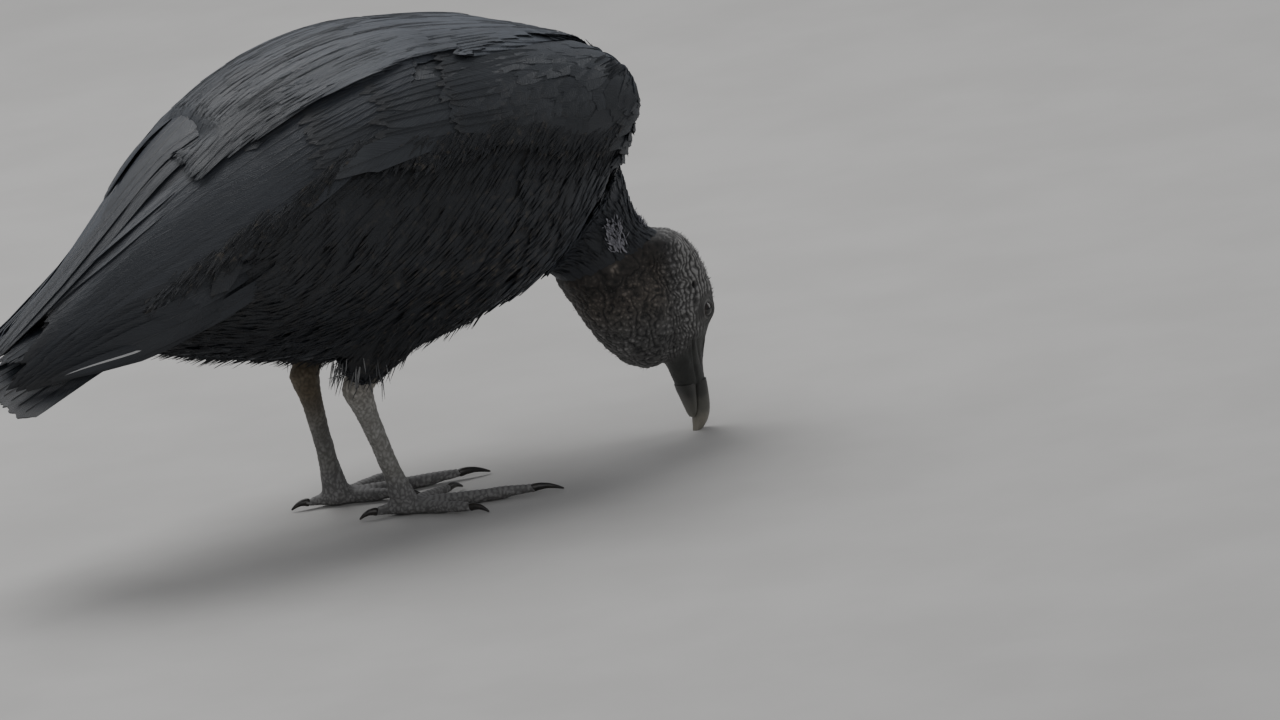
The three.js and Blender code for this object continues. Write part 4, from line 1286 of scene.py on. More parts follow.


# %% [markdown]
# The finishes of the plumage share one recipe: near-black, lifted towards a blue-grey by the painted sheen mark,
# which paints the overhead lamp's reflection into the colour, most on the back and upper wing; streaks that run
# along the barbs; and a weak sheen, which is what the fine fuzz of a feather does to light that skims it. On
# bristles and down the same mark is a paler tone of their own. Dust and whitish stains are mixed in where the
# marks ask for them.


# %% Finish of the plumage
def plumage_finish(name, dark, tone_and_painted_sheen, roughness, barb_count, barb_depth):
    """Feather material; barbs run slantwise from the shaft, barb_count of them along a feather."""
    finish = Finish(name, Roughness=roughness)
    finish.shader.inputs["Sheen Weight"].default_value = 0.16
    finish.shader.inputs["Sheen Roughness"].default_value = 0.45
    finish.shader.inputs["Sheen Tint"].default_value = (0.55, 0.62, 0.75, 1)
    finish.shader.inputs["Specular IOR Level"].default_value = 0.42
    tone_and_sheen_mark, white_mark, dust_mark, chance = finish.marks()
    uv = finish.nodes.new("ShaderNodeUVMap")
    uv.uv_map = "vane"
    split = finish.nodes.new("ShaderNodeSeparateXYZ")
    finish.links.new(uv.outputs[0], split.inputs[0])
    from_shaft = finish.math("ABSOLUTE", finish.math("SUBTRACT", split.outputs[0], 0.5))
    slant = finish.math("SUBTRACT", split.outputs[1], finish.math("MULTIPLY", from_shaft, 0.35))
    barb = finish.nodes.new("ShaderNodeCombineXYZ")
    finish.set(barb, X=finish.math("MULTIPLY", slant, barb_count), Y=finish.math("MULTIPLY", chance, 40.0),
               Z=finish.math("MULTIPLY", from_shaft, 1.6))
    streak = finish.noise(barb.outputs[0], 1.0, 3.0, 0.6)
    cloud = finish.noise(finish.spot(), 26.0, 3.0)
    # painted sheen: the first mark lifts the colour towards the blue-grey of the overhead lamp's reflection
    tone = finish.math("ADD", finish.math("MULTIPLY", tone_and_sheen_mark, 0.85), finish.math("MULTIPLY", cloud, 0.25))
    tone = finish.math("ADD", tone, finish.math("MULTIPLY", finish.math("SUBTRACT", chance, 0.5), 0.10))
    tone = finish.math("ADD", tone, finish.math("MULTIPLY", finish.math("SUBTRACT", streak, 0.5), 0.35))
    base = finish.ramp(tone, [(0.0, dark), (1.0, tone_and_painted_sheen)], smooth=False)
    edge = finish.ramp(split.outputs[1], [(0.82, 0.0), (1.0, 0.35)])
    base = finish.mix(edge, base, (0.030, 0.026, 0.022, 1))
    dusty = finish.noise(finish.spot(), 240.0, 2.0)
    dusty = finish.math("MULTIPLY", finish.ramp(dusty, [(0.52, 0.0), (0.72, 1.0)]), dust_mark)
    base = finish.mix(dusty, base, (0.115, 0.095, 0.070, 1))
    base = finish.mix(white_mark, base, (0.62, 0.62, 0.62, 1))
    finish.links.new(base, finish.shader.inputs["Base Color"])
    finish.links.new(finish.bump(streak, barb_depth), finish.shader.inputs["Normal"])
    return finish.material


# the second colour of each finish is the blue-grey that the painted sheen leads to
SMALL_FINISH = plumage_finish("small_feathers", (0.0075, 0.0078, 0.0085), (0.050, 0.056, 0.068), 0.50, 34.0, 0.0004)
FIRM_FINISH = plumage_finish("firm_feathers", (0.010, 0.011, 0.012), (0.088, 0.096, 0.110), 0.44, 60.0, 0.0003)
FLIGHT_FINISH = plumage_finish("flight_feathers", (0.010, 0.011, 0.0125), (0.048, 0.054, 0.066), 0.40, 150.0, 0.0003)

# %% [markdown]
# Now the body's own tracts are grown. Roots are scattered once over the whole guide with a distance that follows
# the tract, then each tract makes its own piece, so that no piece grows too heavy. Dust gathers low on the
# flanks, where the bird brushes the ground.

# %% Grow the body's tracts
TRIANGLE_SPACING = np.where(TRIANGLE_TRACT >= 0, tract_value("apart", TRIANGLE_TRACT) * MM, 0)
root_places, root_normals = scatter(guide, lambda _: TRIANGLE_SPACING, seed=7)
ROOT_TRACT = tract_of(root_places, root_normals)


def dust_at(points):
    """Dust on the feathers low on the side of the breast and along the flank."""
    feet = stance(points)
    low = 1 - soft_step(feet[:, 2], 120, 215)
    return (0.10 + 0.5 * low * soft_step(feet[:, 0], -60, 60)) * (1 - soft_step(feet[:, 0], 100, 125))


def grow_tract(name, slot_name, seed, *replaced):
    """One tract as one piece."""
    random = np.random.default_rng(seed)
    tract = ROOT_TRACT[ROOT_TRACT == TRACT_NAMES.index(name)]
    roots = root_places[ROOT_TRACT == TRACT_NAMES.index(name)]
    long, half, deep, high = tract_sizes(tract, random)
    if name == "ruff":
        longer = 1 + 0.7 * soft_step(stance(roots)[:, 2], 120, 205)
        long, half = long * longer, half * longer ** 0.5
    if name in ("flank", "breast", "belly"):
        sink = EDGE_SINK * under_wing(roots) * MM
        deep, high = deep + sink, high - sink
    sizes = (long, half, deep, high)
    marks = feather_marks(len(roots), TRACTS[name]["tone_and_painted_sheen"], random, dust=dust_at(roots))
    locks = TRACTS[name]["locks"]
    coat = Coat(name + "_feathers", 0.6 if locks else 0.85)
    if locks:
        grow_loose(coat, roots, sizes, marks, random, locks)
        inner = (sizes[0] * 0.86, sizes[1] * 0.9, sizes[2] + 0.0006, sizes[3] - 0.0009)
        grow_firm(coat, roots, inner, marks * [1, 0, 1, 1], random, rows=5, columns=2, ragged=0.3)
    else:
        grow_firm(coat, roots, sizes, marks, random)
    return coat.make(SMALL_FINISH if locks else FIRM_FINISH, slot_name, *replaced)


for number, tract_name in enumerate(TRACT_NAMES):
    grow_tract(tract_name, "body_feathers", 100 + number)

# %% [markdown]
# ## The drape over the back
#
# The long feathers between the shoulders and along the shoulder blades make a silky sheet that drapes over the
# folded wings and ends in a clean edge. Its edge is given as distances from the midline. At one place it steps
# in, where the front group of feathers ends and the next begins.

# %% Edge of the drape
DRAPE_EDGES = {
    # ahead, mm: distance from the midline, mm
    "front": ([62, 70, 108, 150, 172], [67, 65, 55, 38, 26]),
    "rear": ([-96, -60, -7, 40, 60, 74, 108, 150], [44, 52, 61, 60, 57, 54, 49, 33]),
}


def onto_back(ahead, out, side):
    """Places on top of the guide, from millimetres ahead and out from the midline; side is 1 for left."""
    ahead, out = np.broadcast_arrays(np.asarray(ahead, float), np.asarray(out, float))
    high = place(np.stack([ahead, out * side, np.full(ahead.shape, 400.0)], -1)).reshape(-1, 3)
    hits = [guide.tree.ray_cast(spot, (0, 0, -1))[0] for spot in high.tolist()]
    places = np.array([h if h else (s[0], s[1], 0.2) for h, s in zip(hits, high.tolist())])
    return places.reshape(ahead.shape + (3,))


def smoothed(rows, rounds):
    """Paths with their inner points evened out."""
    rows = rows.copy()
    for _ in range(rounds):
        rows[:, 1:-1] = 0.5 * rows[:, 1:-1] + 0.25 * (rows[:, :-2] + rows[:, 2:])
    return rows


def drape_paths(edge, side, starts, long, inset_root, inset_tip, rows):
    """Paths that run back along an edge of the drape, from inset_root to inset_tip inside it."""
    t = np.linspace(0, 1, rows)
    ahead = np.asarray(starts, float)[:, None] - np.asarray(long, float)[:, None] * t[None]
    inset = np.asarray(inset_root, float)[:, None] * (1 - t[None]) + np.asarray(inset_tip, float)[:, None] * t[None]
    table_ahead, table_out = DRAPE_EDGES[edge]
    out = np.maximum(np.interp(ahead, table_ahead, table_out) - inset, 0.5)
    places, normals = guide.snap(onto_back(ahead, out, side).reshape(-1, 3))
    shape = ahead.shape + (3,)
    return smoothed(places.reshape(shape), 3), unit(smoothed(normals.reshape(shape), 3))


DRAPE_RISE = 3.4  # how high the edge of the drape stands over the wing, mm


def grow_drape(side_name):
    """The drape's ordered feathers on one side: from the edge inwards, front group over rear group."""
    side = SIDES[side_name]
    random = np.random.default_rng(40 + side)
    coat = Coat("drape_" + side_name, 0.8)
    rows = 12
    for edge, first, last, row_numbers in (("rear", 138, -40, range(5)), ("front", 142, 106, range(2))):
        for row in row_numbers:
            step = 7.0 if edge == "rear" else 3.5
            starts = np.arange(first + 4 * row, last, -step)
            n = len(starts)
            starts = starts + random.uniform(-1.0, 1.0, n)
            long = random.uniform(44, 54, n)
            inset_tip = row * 8.5 + 5.5 + random.uniform(-0.5, 0.5, n)
            path, normals = drape_paths(edge, side, starts, long, inset_tip + 2.5, inset_tip + 1.0, rows)
            lift = (DRAPE_RISE - row * 0.55) * (1 - 0.8 * soft_step(-starts, -20, 30))
            path = rooted(path, normals, 0.0008, lift * MM, 1.0)
            half = (8.0 - 0.6 * row) * MM * random.uniform(0.9, 1.1, n)
            points, vane_uv, facing = vanes(path, normals, half, rows, 6, tip_round=0.5, ragged=0.02, camber=0.12,
                                            thickness=0.0006, random=random)
            # painted sheen: the front of the drape is painted a brighter blue-grey than its rear
            tone_and_painted_sheen = 0.9 * (0.3 + 0.7 * soft_step(starts, -40, 50))
            coat.add(facing, points, vane_uv, rows, 6, path[:, 0], feather_marks(n, tone_and_painted_sheen, random))
    return coat


def strand_field(side_name, random):
    """Fine strands that cover the drape: roots on the back within its edges."""
    side = SIDES[side_name]
    n = 1600
    ahead = random.uniform(-84, 174, n)
    edge = np.where(ahead > 64, np.interp(ahead, *DRAPE_EDGES["front"]), np.interp(ahead, *DRAPE_EDGES["rear"]))
    out = random.uniform(0.0, 1.0, n) ** 0.9 * (edge - 3.5)
    roots = onto_back(ahead, out, side)
    return roots, edge - out, ahead


def grow_strands(side_name):
    """Silky strands over the drape."""
    random = np.random.default_rng(60 + SIDES[side_name])
    roots, inset, ahead = strand_field(side_name, random)
    n = len(roots)
    rows = 8
    end = np.where((ahead > 64) & (inset < 9), 62, -112)
    long = np.minimum(random.uniform(32, 66, n), np.maximum(ahead - end, 6)) * MM
    path, normals = trails(roots, long, rows, guide)
    front = soft_step(ahead, 122, 164)
    rear = soft_step(-ahead, -30, 30)
    lift = (DRAPE_RISE * (1 - 0.65 * soft_step(inset, 0, 40)) * (1 - 0.7 * front) * (1 - 0.7 * rear) + 0.9) * MM
    dark = random.random(n) < 0.16
    lift += 0.0003 * dark
    half = random.uniform(1.3, 3.6, n) * (1 - 0.78 * dark) * MM
    t = np.linspace(0, 1, rows)
    rise = soft_step(t, 0, 0.35)[None, :, None]
    lift = (lift + random.uniform(-0.0002, 0.0003, n))[:, None, None]
    path = smoothed(path, 2) + normals * (lift * rise - 0.0004 * (1 - rise) - 0.0003 * t[None, :, None] ** 4)
    points, vane_uv, facing = vanes(path, normals, half, rows, 2, shape="lock", tip_round=0.0,
                                    camber=0.05, thickness=0.0003)
    coat = Coat("strands_" + side_name, 0.93)
    # painted sheen, weaker at the rear, at the front end and on the darker strands
    tone_and_painted_sheen = random.uniform(0.72, 1.0, n) * (0.2 + 0.8 * soft_step(ahead, -20, 62)) * (1 - 0.6 * front) * (1 - 0.75 * dark)
    coat.add(facing, points, vane_uv * [0.5, 0.08] + [0.5, 0.0], rows, 2, roots, feather_marks(n, tone_and_painted_sheen, random))
    return coat


def grow_shoulder(side_name):
    """Feathers that bridge the hollow between the side of the breast and the wrist."""
    random = np.random.default_rng(70 + SIDES[side_name])
    n = 100
    rows = 8
    side = SIDES[side_name]
    high = random.uniform(180, 240, n)
    first = random.uniform(5, 45, n)
    turn = np.radians(first[:, None] + np.linspace(0, 34, 17)[None])
    ways = np.stack([np.cos(turn), side * np.sin(turn), np.zeros_like(turn)], -1)
    middle = place(np.stack([np.full(n, 118.0), np.full(n, 36.0 * side), high], -1))
    reach = np.zeros(turn.shape)
    for i in range(n):
        for j in range(17):
            hit = guide.tree.ray_cast((middle[i] + ways[i, j] * 0.1).tolist(), (-ways[i, j]).tolist(), 0.1)
            reach[i, j] = 0.1 - hit[3] if hit[0] else 0.03
    flat = reach[..., None]
    for _ in range(30):
        flat = np.maximum(flat, smoothed(flat, 1))
    path = middle[:, None] + ways * flat
    path[..., 2] += np.linspace(0, 1, 17)[None] * -4 * MM
    path = path[:, ::2][:, :rows]
    normals = ways[:, ::2][:, :rows]
    path = rooted(path, normals, 0.0026, random.uniform(-0.4, 0.0, n) * MM)
    points, vane_uv, facing = vanes(path, normals, random.uniform(2.5, 4.5, n) * MM, rows, 4, ragged=0.3, camber=0.05,
                                    thickness=0.0005, random=random)
    coat = Coat("shoulder_" + side_name, 0.8)
    coat.add(facing, points, vane_uv, rows, 4, path[:, 0], feather_marks(n, 0.15, random))
    return coat


for side_name in SIDES:
    grow_shoulder(side_name).make(FIRM_FINISH, "body_feathers")
    grow_drape(side_name).make(FIRM_FINISH, "body_feathers")
    grow_strands(side_name).make(FIRM_FINISH, "body_feathers")

# %% [markdown]
# ## Wing and tail feathers
#
# The long feathers of the folded wing lie like a closed fan: the inner ones on top, each lower one half under
# its neighbour. A feather is given by a few places in millimetres along its shaft. Rays cast inwards lay the
# shaft on the wing's solid, then the path is evened out. Every feather also gets a shaft of its own.

# %% Lay shafts on the wing
MID_HEIGHT = ([-252, -188, -147, -100, -66, -20, 30, 75, 110, 165], [126, 139, 149, 166, 176, 182, 186, 192, 202, 214])


def joined(names):
    """Several solids' meshes in one, as a surface."""
    whole = bmesh.new()
    for name in names:
        whole.from_mesh(copy_of(name, 0))
    mesh = bpy.data.meshes.new("joined")
    whole.to_mesh(mesh)
    whole.free()
    return Surface(mesh)


WING_SHEETS = {
    side_name: joined([f"wing_{side_name}_{part}" for part in WING_PARTS + ["tertials"]])
    for side_name in SIDES
}


def resampled(lines, rows):
    """Smooth curves through the given places (n, k, 3), as rows evenly spaced places each."""
    lines = np.asarray(lines, float)
    for _ in range(3):
        middle = 0.5 * (lines[:, :-1] + lines[:, 1:])
        cut = np.concatenate([lines[:, :1], middle, lines[:, -1:]], axis=1)
        lines = np.empty((len(lines), cut.shape[1] * 2 - 1, 3))
        lines[:, ::2] = cut
        lines[:, 1::2] = 0.5 * (cut[:, :-1] + cut[:, 1:])
    step = np.linalg.norm(np.diff(lines, axis=1), axis=2)
    run = np.concatenate([np.zeros((len(lines), 1)), step.cumsum(1)], axis=1)
    out = np.empty((len(lines), rows, 3))
    for i, line in enumerate(lines):
        for axis in range(3):
            out[i, :, axis] = np.interp(np.linspace(0, run[i, -1], rows), run[i], line[:, axis])
    return out


def laid_on_wing(lines, side_name, rows):
    """Paths in metres on a wing's outer face, with normals; lines are given for the right side."""
    path = resampled(lines, rows)
    path[..., 1] *= -SIDES[side_name]
    outward = path.copy()
    outward[..., 0] = 0
    outward[..., 2] -= np.interp(path[..., 0], *MID_HEIGHT)
    outward = unit(outward).reshape(-1, 3)
    flat = place(path).reshape(-1, 3)
    sheet = WING_SHEETS[side_name]
    for i, (spot, out) in enumerate(zip(flat.copy(), outward)):
        hit = sheet.tree.ray_cast((spot + out * 0.03).tolist(), (-out).tolist(), 0.05)[0]
        if hit:
            flat[i] = hit
    path = smoothed(flat.reshape(path.shape), 14)
    normals = unit(smoothed(outward.reshape(path.shape), 4))
    forward = unit(np.gradient(path, axis=1))
    return path, unit(normals - (normals * forward).sum(2, keepdims=True) * forward)


# %% [markdown]
# The vanes of a long feather are unequal, the leading one narrow and the trailing one broad; here both are made
# equally wide. They also split now and then, and the barbs close up again next to the split; here a little chance
# in how far each column reaches only roughens the tip.

# %% One long feather after another
def grow_long(coat, path, normals, half, marks, random, tilt=0.0, tip_round=0.2, ragged=0.04, rows=None,
              columns=8, shaft=0.6, shaft_white=0.0, lean=0.0, camber=0.06, shape="flight"):
    """Long feathers with a shaft each."""
    n, rows = path.shape[:2]
    side = unit(np.cross(np.gradient(path, axis=1), normals))
    turned = unit(normals + side * np.asarray(tilt, float).reshape(-1, 1, 1))
    points, vane_uv, facing = vanes(path, turned, half, rows, columns, shape=shape, tip_round=tip_round, ragged=ragged,
                            camber=camber, thickness=0.0007, random=random, lean=np.full(n, lean))
    coat.add(facing, points, vane_uv, rows, columns, path[:, 0], marks)
    t = np.linspace(0, 1, rows)
    shaft_path = path + turned * (0.00035 + 0.0 * t)[None, :, None]
    shaft_marks = np.repeat(marks[:, None], (rows - 1) * 4, axis=1)
    shaft_marks[..., 0] *= 0.6
    shaft_marks[..., 1] = shaft_white * (np.abs(np.repeat(t[: rows - 1], 4) - 0.63) < 0.26)
    points, vane_uv, facing = vanes(shaft_path[:, : rows - 1], turned[:, : rows - 1], np.full(n, shaft * MM), rows - 1, 2,
                            shape="lock", tip_round=0.0, camber=0.0, thickness=0.0011)
    coat.add(facing, points, vane_uv * [0.02, 1.0] + [0.49, 0.0], rows - 1, 2, path[:, 0], shaft_marks)


def between(first, last, shares):
    """Places between two, at each share."""
    shares = np.asarray(shares, float)[:, None]
    return np.asarray(first, float) * (1 - shares) + np.asarray(last, float) * shares


def through(table, shares):
    """Places along a table of (share, place), at each share."""
    marks_at = [share for share, _ in table]
    spots = np.array([spot for _, spot in table], float)
    return np.column_stack([np.interp(shares, marks_at, spots[:, axis]) for axis in range(3)])


SECONDARY_ROOTS = [(0, (40, -52, 266)), (0.5, (20, -74, 252)), (1, (-6, -92, 236))]
SECONDARY_VIAS = [(0, (-88, -24, 240)), (0.5, (-100, -55, 210)), (1, (-98, -76, 188))]
SECONDARY_TIPS = [
    (0, (-190, -6, 172)),
    (0.25, (-204, -15, 157)),
    (0.6, (-223, -27, 143)),
    (0.85, (-237, -35, 132)),
    (1, (-214, -47, 140)),
]
PRIMARY_ROOTS = [(0, (-60, -72, 196)), (1, (-72, -72, 160))]
PRIMARY_VIAS = [(0, (-140, -50, 172)), (1, (-140, -54, 144))]
PRIMARY_TIPS = [(0, (-240, -32, 130)), (0.6, (-232, -40, 129)), (1, (-219, -47, 133))]
OUTER_PRIMARY = [(-72, -76, 168), (-118, -64, 147), (-140, -54, 141), (-156, -51, 140), (-208, -50, 138), (-221, -47, 133)]


def grow_wing(side_name):
    """Secondaries over primaries on one wing."""
    random = np.random.default_rng(80 + SIDES[side_name])
    turn = -SIDES[side_name]
    rows = 28
    coat = Coat("flight_" + side_name)
    n = 6
    shares = np.linspace(0, 1, n)
    lines = np.stack([through(PRIMARY_ROOTS, shares), through(PRIMARY_VIAS, shares), through(PRIMARY_TIPS, shares)], 1)
    path, normals = laid_on_wing(lines, side_name, rows)
    sunk = 4.0 * (1 - soft_step(np.linspace(0, 1, rows), 0.05, 0.34))
    path = path - normals * ((1.5 + 0.35 * np.arange(n)[:, None] + sunk) * MM)[..., None]
    marks = feather_marks(n, 0.32, random)
    grow_long(coat, path, normals, np.full(n, 0.0085), marks, random, tilt=0.06 * turn, tip_round=0.35)
    path, normals = laid_on_wing([OUTER_PRIMARY], side_name, rows)
    path = path + normals * (np.linspace(-2.5, 1.0, rows) * MM)[None, :, None]
    grow_long(coat, path, normals, np.full(1, 0.0058), marks[:1], random, tip_round=0.4, shaft=0.9, shaft_white=0.8,
              camber=0.0)
    # painted sheen: more on the upper row of secondaries than on the lower
    for n, lowest, tone_and_painted_sheen in ((12, -3.8, 0.2), (13, -1.1, 0.5)):
        shares = np.linspace(0.5 + n / 26, 0.5 - n / 26, n)
        lines = np.stack([through(SECONDARY_ROOTS, shares), through(SECONDARY_VIAS, shares),
                          through(SECONDARY_TIPS, shares)], 1)
        path, normals = laid_on_wing(lines, side_name, rows)
        path = path + normals * ((lowest + 0.14 * np.arange(n)) * MM)[:, None, None]
        marks = feather_marks(n, tone_and_painted_sheen + 0.1 * (1 - shares), random)
        half = 0.0105 + 0.001 * random.random(n)
        grow_long(coat, path, normals, half, marks, random, tilt=0.05 * turn, tip_round=0.3, ragged=0.05)
    return coat


def grow_tertials(side_name):
    """The innermost feathers, which lie along the ridge over everything else."""
    random = np.random.default_rng(90 + SIDES[side_name])
    rows = 26
    coat = Coat("tertials_" + side_name)
    if side_name == "right":
        lines = [
            [(-30, -34, 262), (-110, -18, 228), (-214, -9, 158)],
            [(-40, -26, 260), (-118, -11, 226), (-236, -6, 140)],
            [(-50, -16, 260), (-124, -5, 224), (-252, -3, 127)],
        ]
        half = [0.0085, 0.0075, 0.0062]
        tip_round = 0.35
    else:
        lines = [
            [(-6, -54, 262), (-70, -50, 244), (-124, -42, 206)],
            [(-14, -40, 266), (-76, -34, 250), (-133, -28, 208)],
            [(-20, -20, 270), (-80, -8, 256), (-133, -7, 214)],
            [(-24, -8, 272), (-90, 2, 252), (-150, 2, 200)],
        ]
        half = [0.013, 0.014, 0.015, 0.013]
        tip_round = 0.18
    path, normals = laid_on_wing(lines, side_name, rows)
    n = len(half)
    sunk = 4.5 * (1 - soft_step(np.linspace(0, 1, rows), 0.04, 0.30))
    path = path + normals * ((np.linspace(0.6, 1.6, n)[:, None] - sunk) * MM)[..., None]
    marks = feather_marks(n, 0.22, random)
    grow_long(coat, path, normals, np.array(half), marks, random, tip_round=tip_round, camber=0.12)
    return coat


for side_name in SIDES:
    flight = [f"wing_{side_name}_{part}" for part in ("secondaries", "primaries")]
    grow_wing(side_name).make(FLIGHT_FINISH, "flight_feathers", *flight)
    grow_tertials(side_name).make(FLIGHT_FINISH, "flight_feathers", f"wing_{side_name}_tertials")


# %% Tail
TAIL_ROWS = ([-242, -225, -190, -150, -116], [124, 129, 138, 146, 154], [52, 49, 41, 30, 20])
TAIL_DROOP = 7.0


def grow_tail():
    """Twelve tail feathers, the middle pair on top."""
    random = np.random.default_rng(5)
    coat = Coat("tail_feathers")
    rows = 20
    place_across = np.array([-11, 11, -9, 9, -7, 7, -5, 5, -3, 3, -1, 1]) / 12
    ahead = np.linspace(-116, -241.5, rows)
    heights = np.interp(ahead, TAIL_ROWS[0], TAIL_ROWS[1])
    halves = np.interp(ahead, TAIL_ROWS[0], TAIL_ROWS[2])
    path = np.empty((12, rows, 3))
    path[..., 0] = ahead
    path[..., 1] = place_across[:, None] * halves[None]
    path[..., 2] = heights[None] - TAIL_DROOP * place_across[:, None] ** 2
    normals = np.zeros_like(path)
    normals[..., 1] = 2 * TAIL_DROOP * place_across[:, None] / halves[None]
    normals[..., 2] = 1
    normals = unit(normals)
    path = place(path) + normals * (np.arange(12) * 0.16 * MM - 0.0008)[:, None, None]
    marks = feather_marks(12, 0.0, random, dust=0.1)
    grow_long(coat, path, normals, np.full(12, 0.0085), marks, random, tip_round=0.05, ragged=0.02, camber=0.05,
              shape="tail")
    grow_tail_coverts(coat, random)
    return coat


def grow_tail_coverts(coat, random):
    """Soft dark feathers between the tail and the wings that close over it."""
    rows = 14
    out = np.array([-24, 24, -16, 16, -8, 8, 0, -12, 12, -4, 4])
    n = len(out)
    reach = np.array([-200, -200, -212, -212, -224, -224, -228, -205, -205, -215, -215])
    first = np.column_stack([np.full(n, -118), out * 0.7, 172 - 0.3 * np.abs(out)])
    last = np.column_stack([reach, out * 0.9, np.interp(reach, TAIL_ROWS[0], TAIL_ROWS[1]) + 8 + 0.12 * np.arange(n)])
    lines = np.stack([first, 0.5 * (first + last) + [0, 0, 2], last], 1)
    path = place(resampled(lines, rows))
    normals = np.zeros_like(path) + unit([0.25, 0, 1])
    marks = feather_marks(n, 0.0, random)
    grow_long(coat, path, normals, np.full(n, 0.0095), marks, random, tip_round=0.3, ragged=0.12, camber=0.1, shaft=0.4)


grow_tail().make(FLIGHT_FINISH, "flight_feathers", "tail")

# %% [markdown]
# The upper wing coverts close the gap between the drape and the long feathers. They come in rows. The greater
# coverts are long and cover the roots of the secondaries. Shorter ones lie ahead of them, up to the wrist.

# %% Wing coverts
COVERT_ROWS = [
    # root line from upper to lower, mm; tip line; how many; half width, mm; lift, mm; painted sheen
    (((70, -50, 266), (50, -94, 228)), ((-44, -54, 250), (-52, -90, 216)), 11, 8.5, -0.2, 0.22),
    (((96, -50, 262), (80, -94, 222)), ((-4, -56, 258), (-12, -95, 230)), 12, 8.0, 0.1, 0.22),
    (((118, -46, 256), (104, -94, 214)), ((42, -58, 262), (34, -96, 222)), 12, 7.6, 0.4, 0.2),
]


def grow_coverts(side_name):
    """Ordered rows of greater and median coverts."""
    random = np.random.default_rng(30 + SIDES[side_name])
    rows = 14
    coat = Coat("coverts_" + side_name)
    for roots, tips, n, half, lift, tone_and_painted_sheen in COVERT_ROWS:
        shares = np.linspace(1, 0, n) + random.uniform(-0.02, 0.02, n)
        first = between(*roots, shares) + random.uniform(-2, 2, (n, 3)) * [1, 0, 0.5]
        last = between(*tips, shares) + random.uniform(-4, 4, (n, 3)) * [1, 0, 0.5]
        lines = np.stack([first, 0.5 * (first + last), last], 1)
        path, normals = laid_on_wing(lines, side_name, rows)
        path = rooted(path, normals, 0.0022, lift * MM)
        marks = feather_marks(n, tone_and_painted_sheen, random)
        grow_long(coat, path, normals, np.full(n, half * MM), marks, random, tilt=-0.05 * SIDES[side_name],
                  tip_round=0.3, ragged=0.12, columns=8, shaft=0.35, camber=0.05)
    return coat


for side_name in SIDES:
    grow_coverts(side_name).make(FIRM_FINISH, "flight_feathers", f"wing_{side_name}_coverts")

# %% [markdown]
# ## Eyes
#
# An eye is a ball with a slightly bulging clear cornea. Its rings run around the line of sight, so pupil and
# iris are simply rings of colour. The lids cover all but a small almond of it.


# %% Eyes
def eye_finish():
    """Wet and dark: black pupil, dark brown iris, dark ball."""
    finish = Finish("eye", Roughness=0.06)
    finish.shader.inputs["Coat Weight"].default_value = 1.0
    finish.shader.inputs["Coat Roughness"].default_value = 0.03
    finish.shader.inputs["IOR"].default_value = 1.38
    out, chance, _, _ = finish.marks()
    base = finish.ramp(out, [(0.0, (0.0015, 0.0015, 0.0015)), (0.30, (0.002, 0.002, 0.002)), (0.36, (0.020, 0.011, 0.007)),
                             (0.62, (0.014, 0.008, 0.006)), (0.7, (0.012, 0.010, 0.010)), (1.0, (0.03, 0.027, 0.026))])
    finish.links.new(base, finish.shader.inputs["Base Color"])
    return finish.material


def make_eye(side_name, finish):
    """One eye, looking out to its side and a little ahead."""
    rings, spokes = 28, 40
    side = SIDES[side_name]
    gaze = unit([0.22, 0.02, side])
    across = unit(np.cross(gaze, [1.0, 0.0, 0.0]))
    up = np.cross(gaze, across)
    angle = np.linspace(0, math.pi, rings)[1:-1]
    turn = np.linspace(0, 2 * math.pi, spokes, endpoint=False)
    bulge = 0.45 * (1 - soft_step(angle, 0.15, 0.62))
    reach = (EYE_RADIUS - 0.12) + bulge
    flat = (np.sin(angle) * reach)[:, None]
    ahead = (np.cos(angle) * reach)[:, None, None] * gaze
    ring = flat[..., None] * (np.cos(turn)[None, :, None] * across + np.sin(turn)[None, :, None] * up)
    spots = (ahead + ring).reshape(-1, 3)
    ends = np.array([gaze * (EYE_RADIUS + 0.33), -gaze * (EYE_RADIUS - 0.12)])
    spots = np.vstack([spots, ends]) + EYE_PLACE[side_name]
    faces = []
    count = len(angle)
    for i in range(count - 1):
        for j in range(spokes):
            k = (j + 1) % spokes
            faces.append((i * spokes + j, (i + 1) * spokes + j, (i + 1) * spokes + k, i * spokes + k))
    for j in range(spokes):
        k = (j + 1) % spokes
        faces.append((count * spokes, j, k))
        faces.append((count * spokes + 1, (count - 1) * spokes + k, (count - 1) * spokes + j))
    mesh = bpy.data.meshes.new("eye_" + side_name)
    mesh.from_pydata(from_head(spots).tolist(), [], faces)
    tidy_normals(mesh)
    marks = np.ones((len(spots), 4))
    marks[:-2, 0] = np.repeat(angle / 1.25, spokes).clip(0, 1)
    marks[-2:, 0] = (0, 1)
    layer = mesh.attributes.new("marks", "FLOAT_COLOR", "POINT")
    layer.data.foreach_set("color", marks.astype(np.float32).ravel())
    mesh.materials.append(finish)
    eye = object_of(side_name + "_eyeball", mesh)
    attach(eye, "root")
    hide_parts("eye_" + side_name)


def tidy_normals(mesh):
    """Faces outwards and smooth."""
    shape = bmesh.new()
    shape.from_mesh(mesh)
    bmesh.ops.recalc_face_normals(shape, faces=shape.faces)
    for face in shape.faces:
        face.smooth = True
    shape.to_mesh(mesh)
    shape.free()


EYE_FINISH = eye_finish()
for side_name in SIDES:
    make_eye(side_name, EYE_FINISH)
print("eyes: radius", EYE_RADIUS, "mm")

# %% [markdown]
# ## Bill and claws
#
# The horn of the bill is lofted through rings. The upper half has a ridge and turns down in a hook, and its rim
# overhangs the lower half. Growth lines run around it, and its point is rubbed pale.

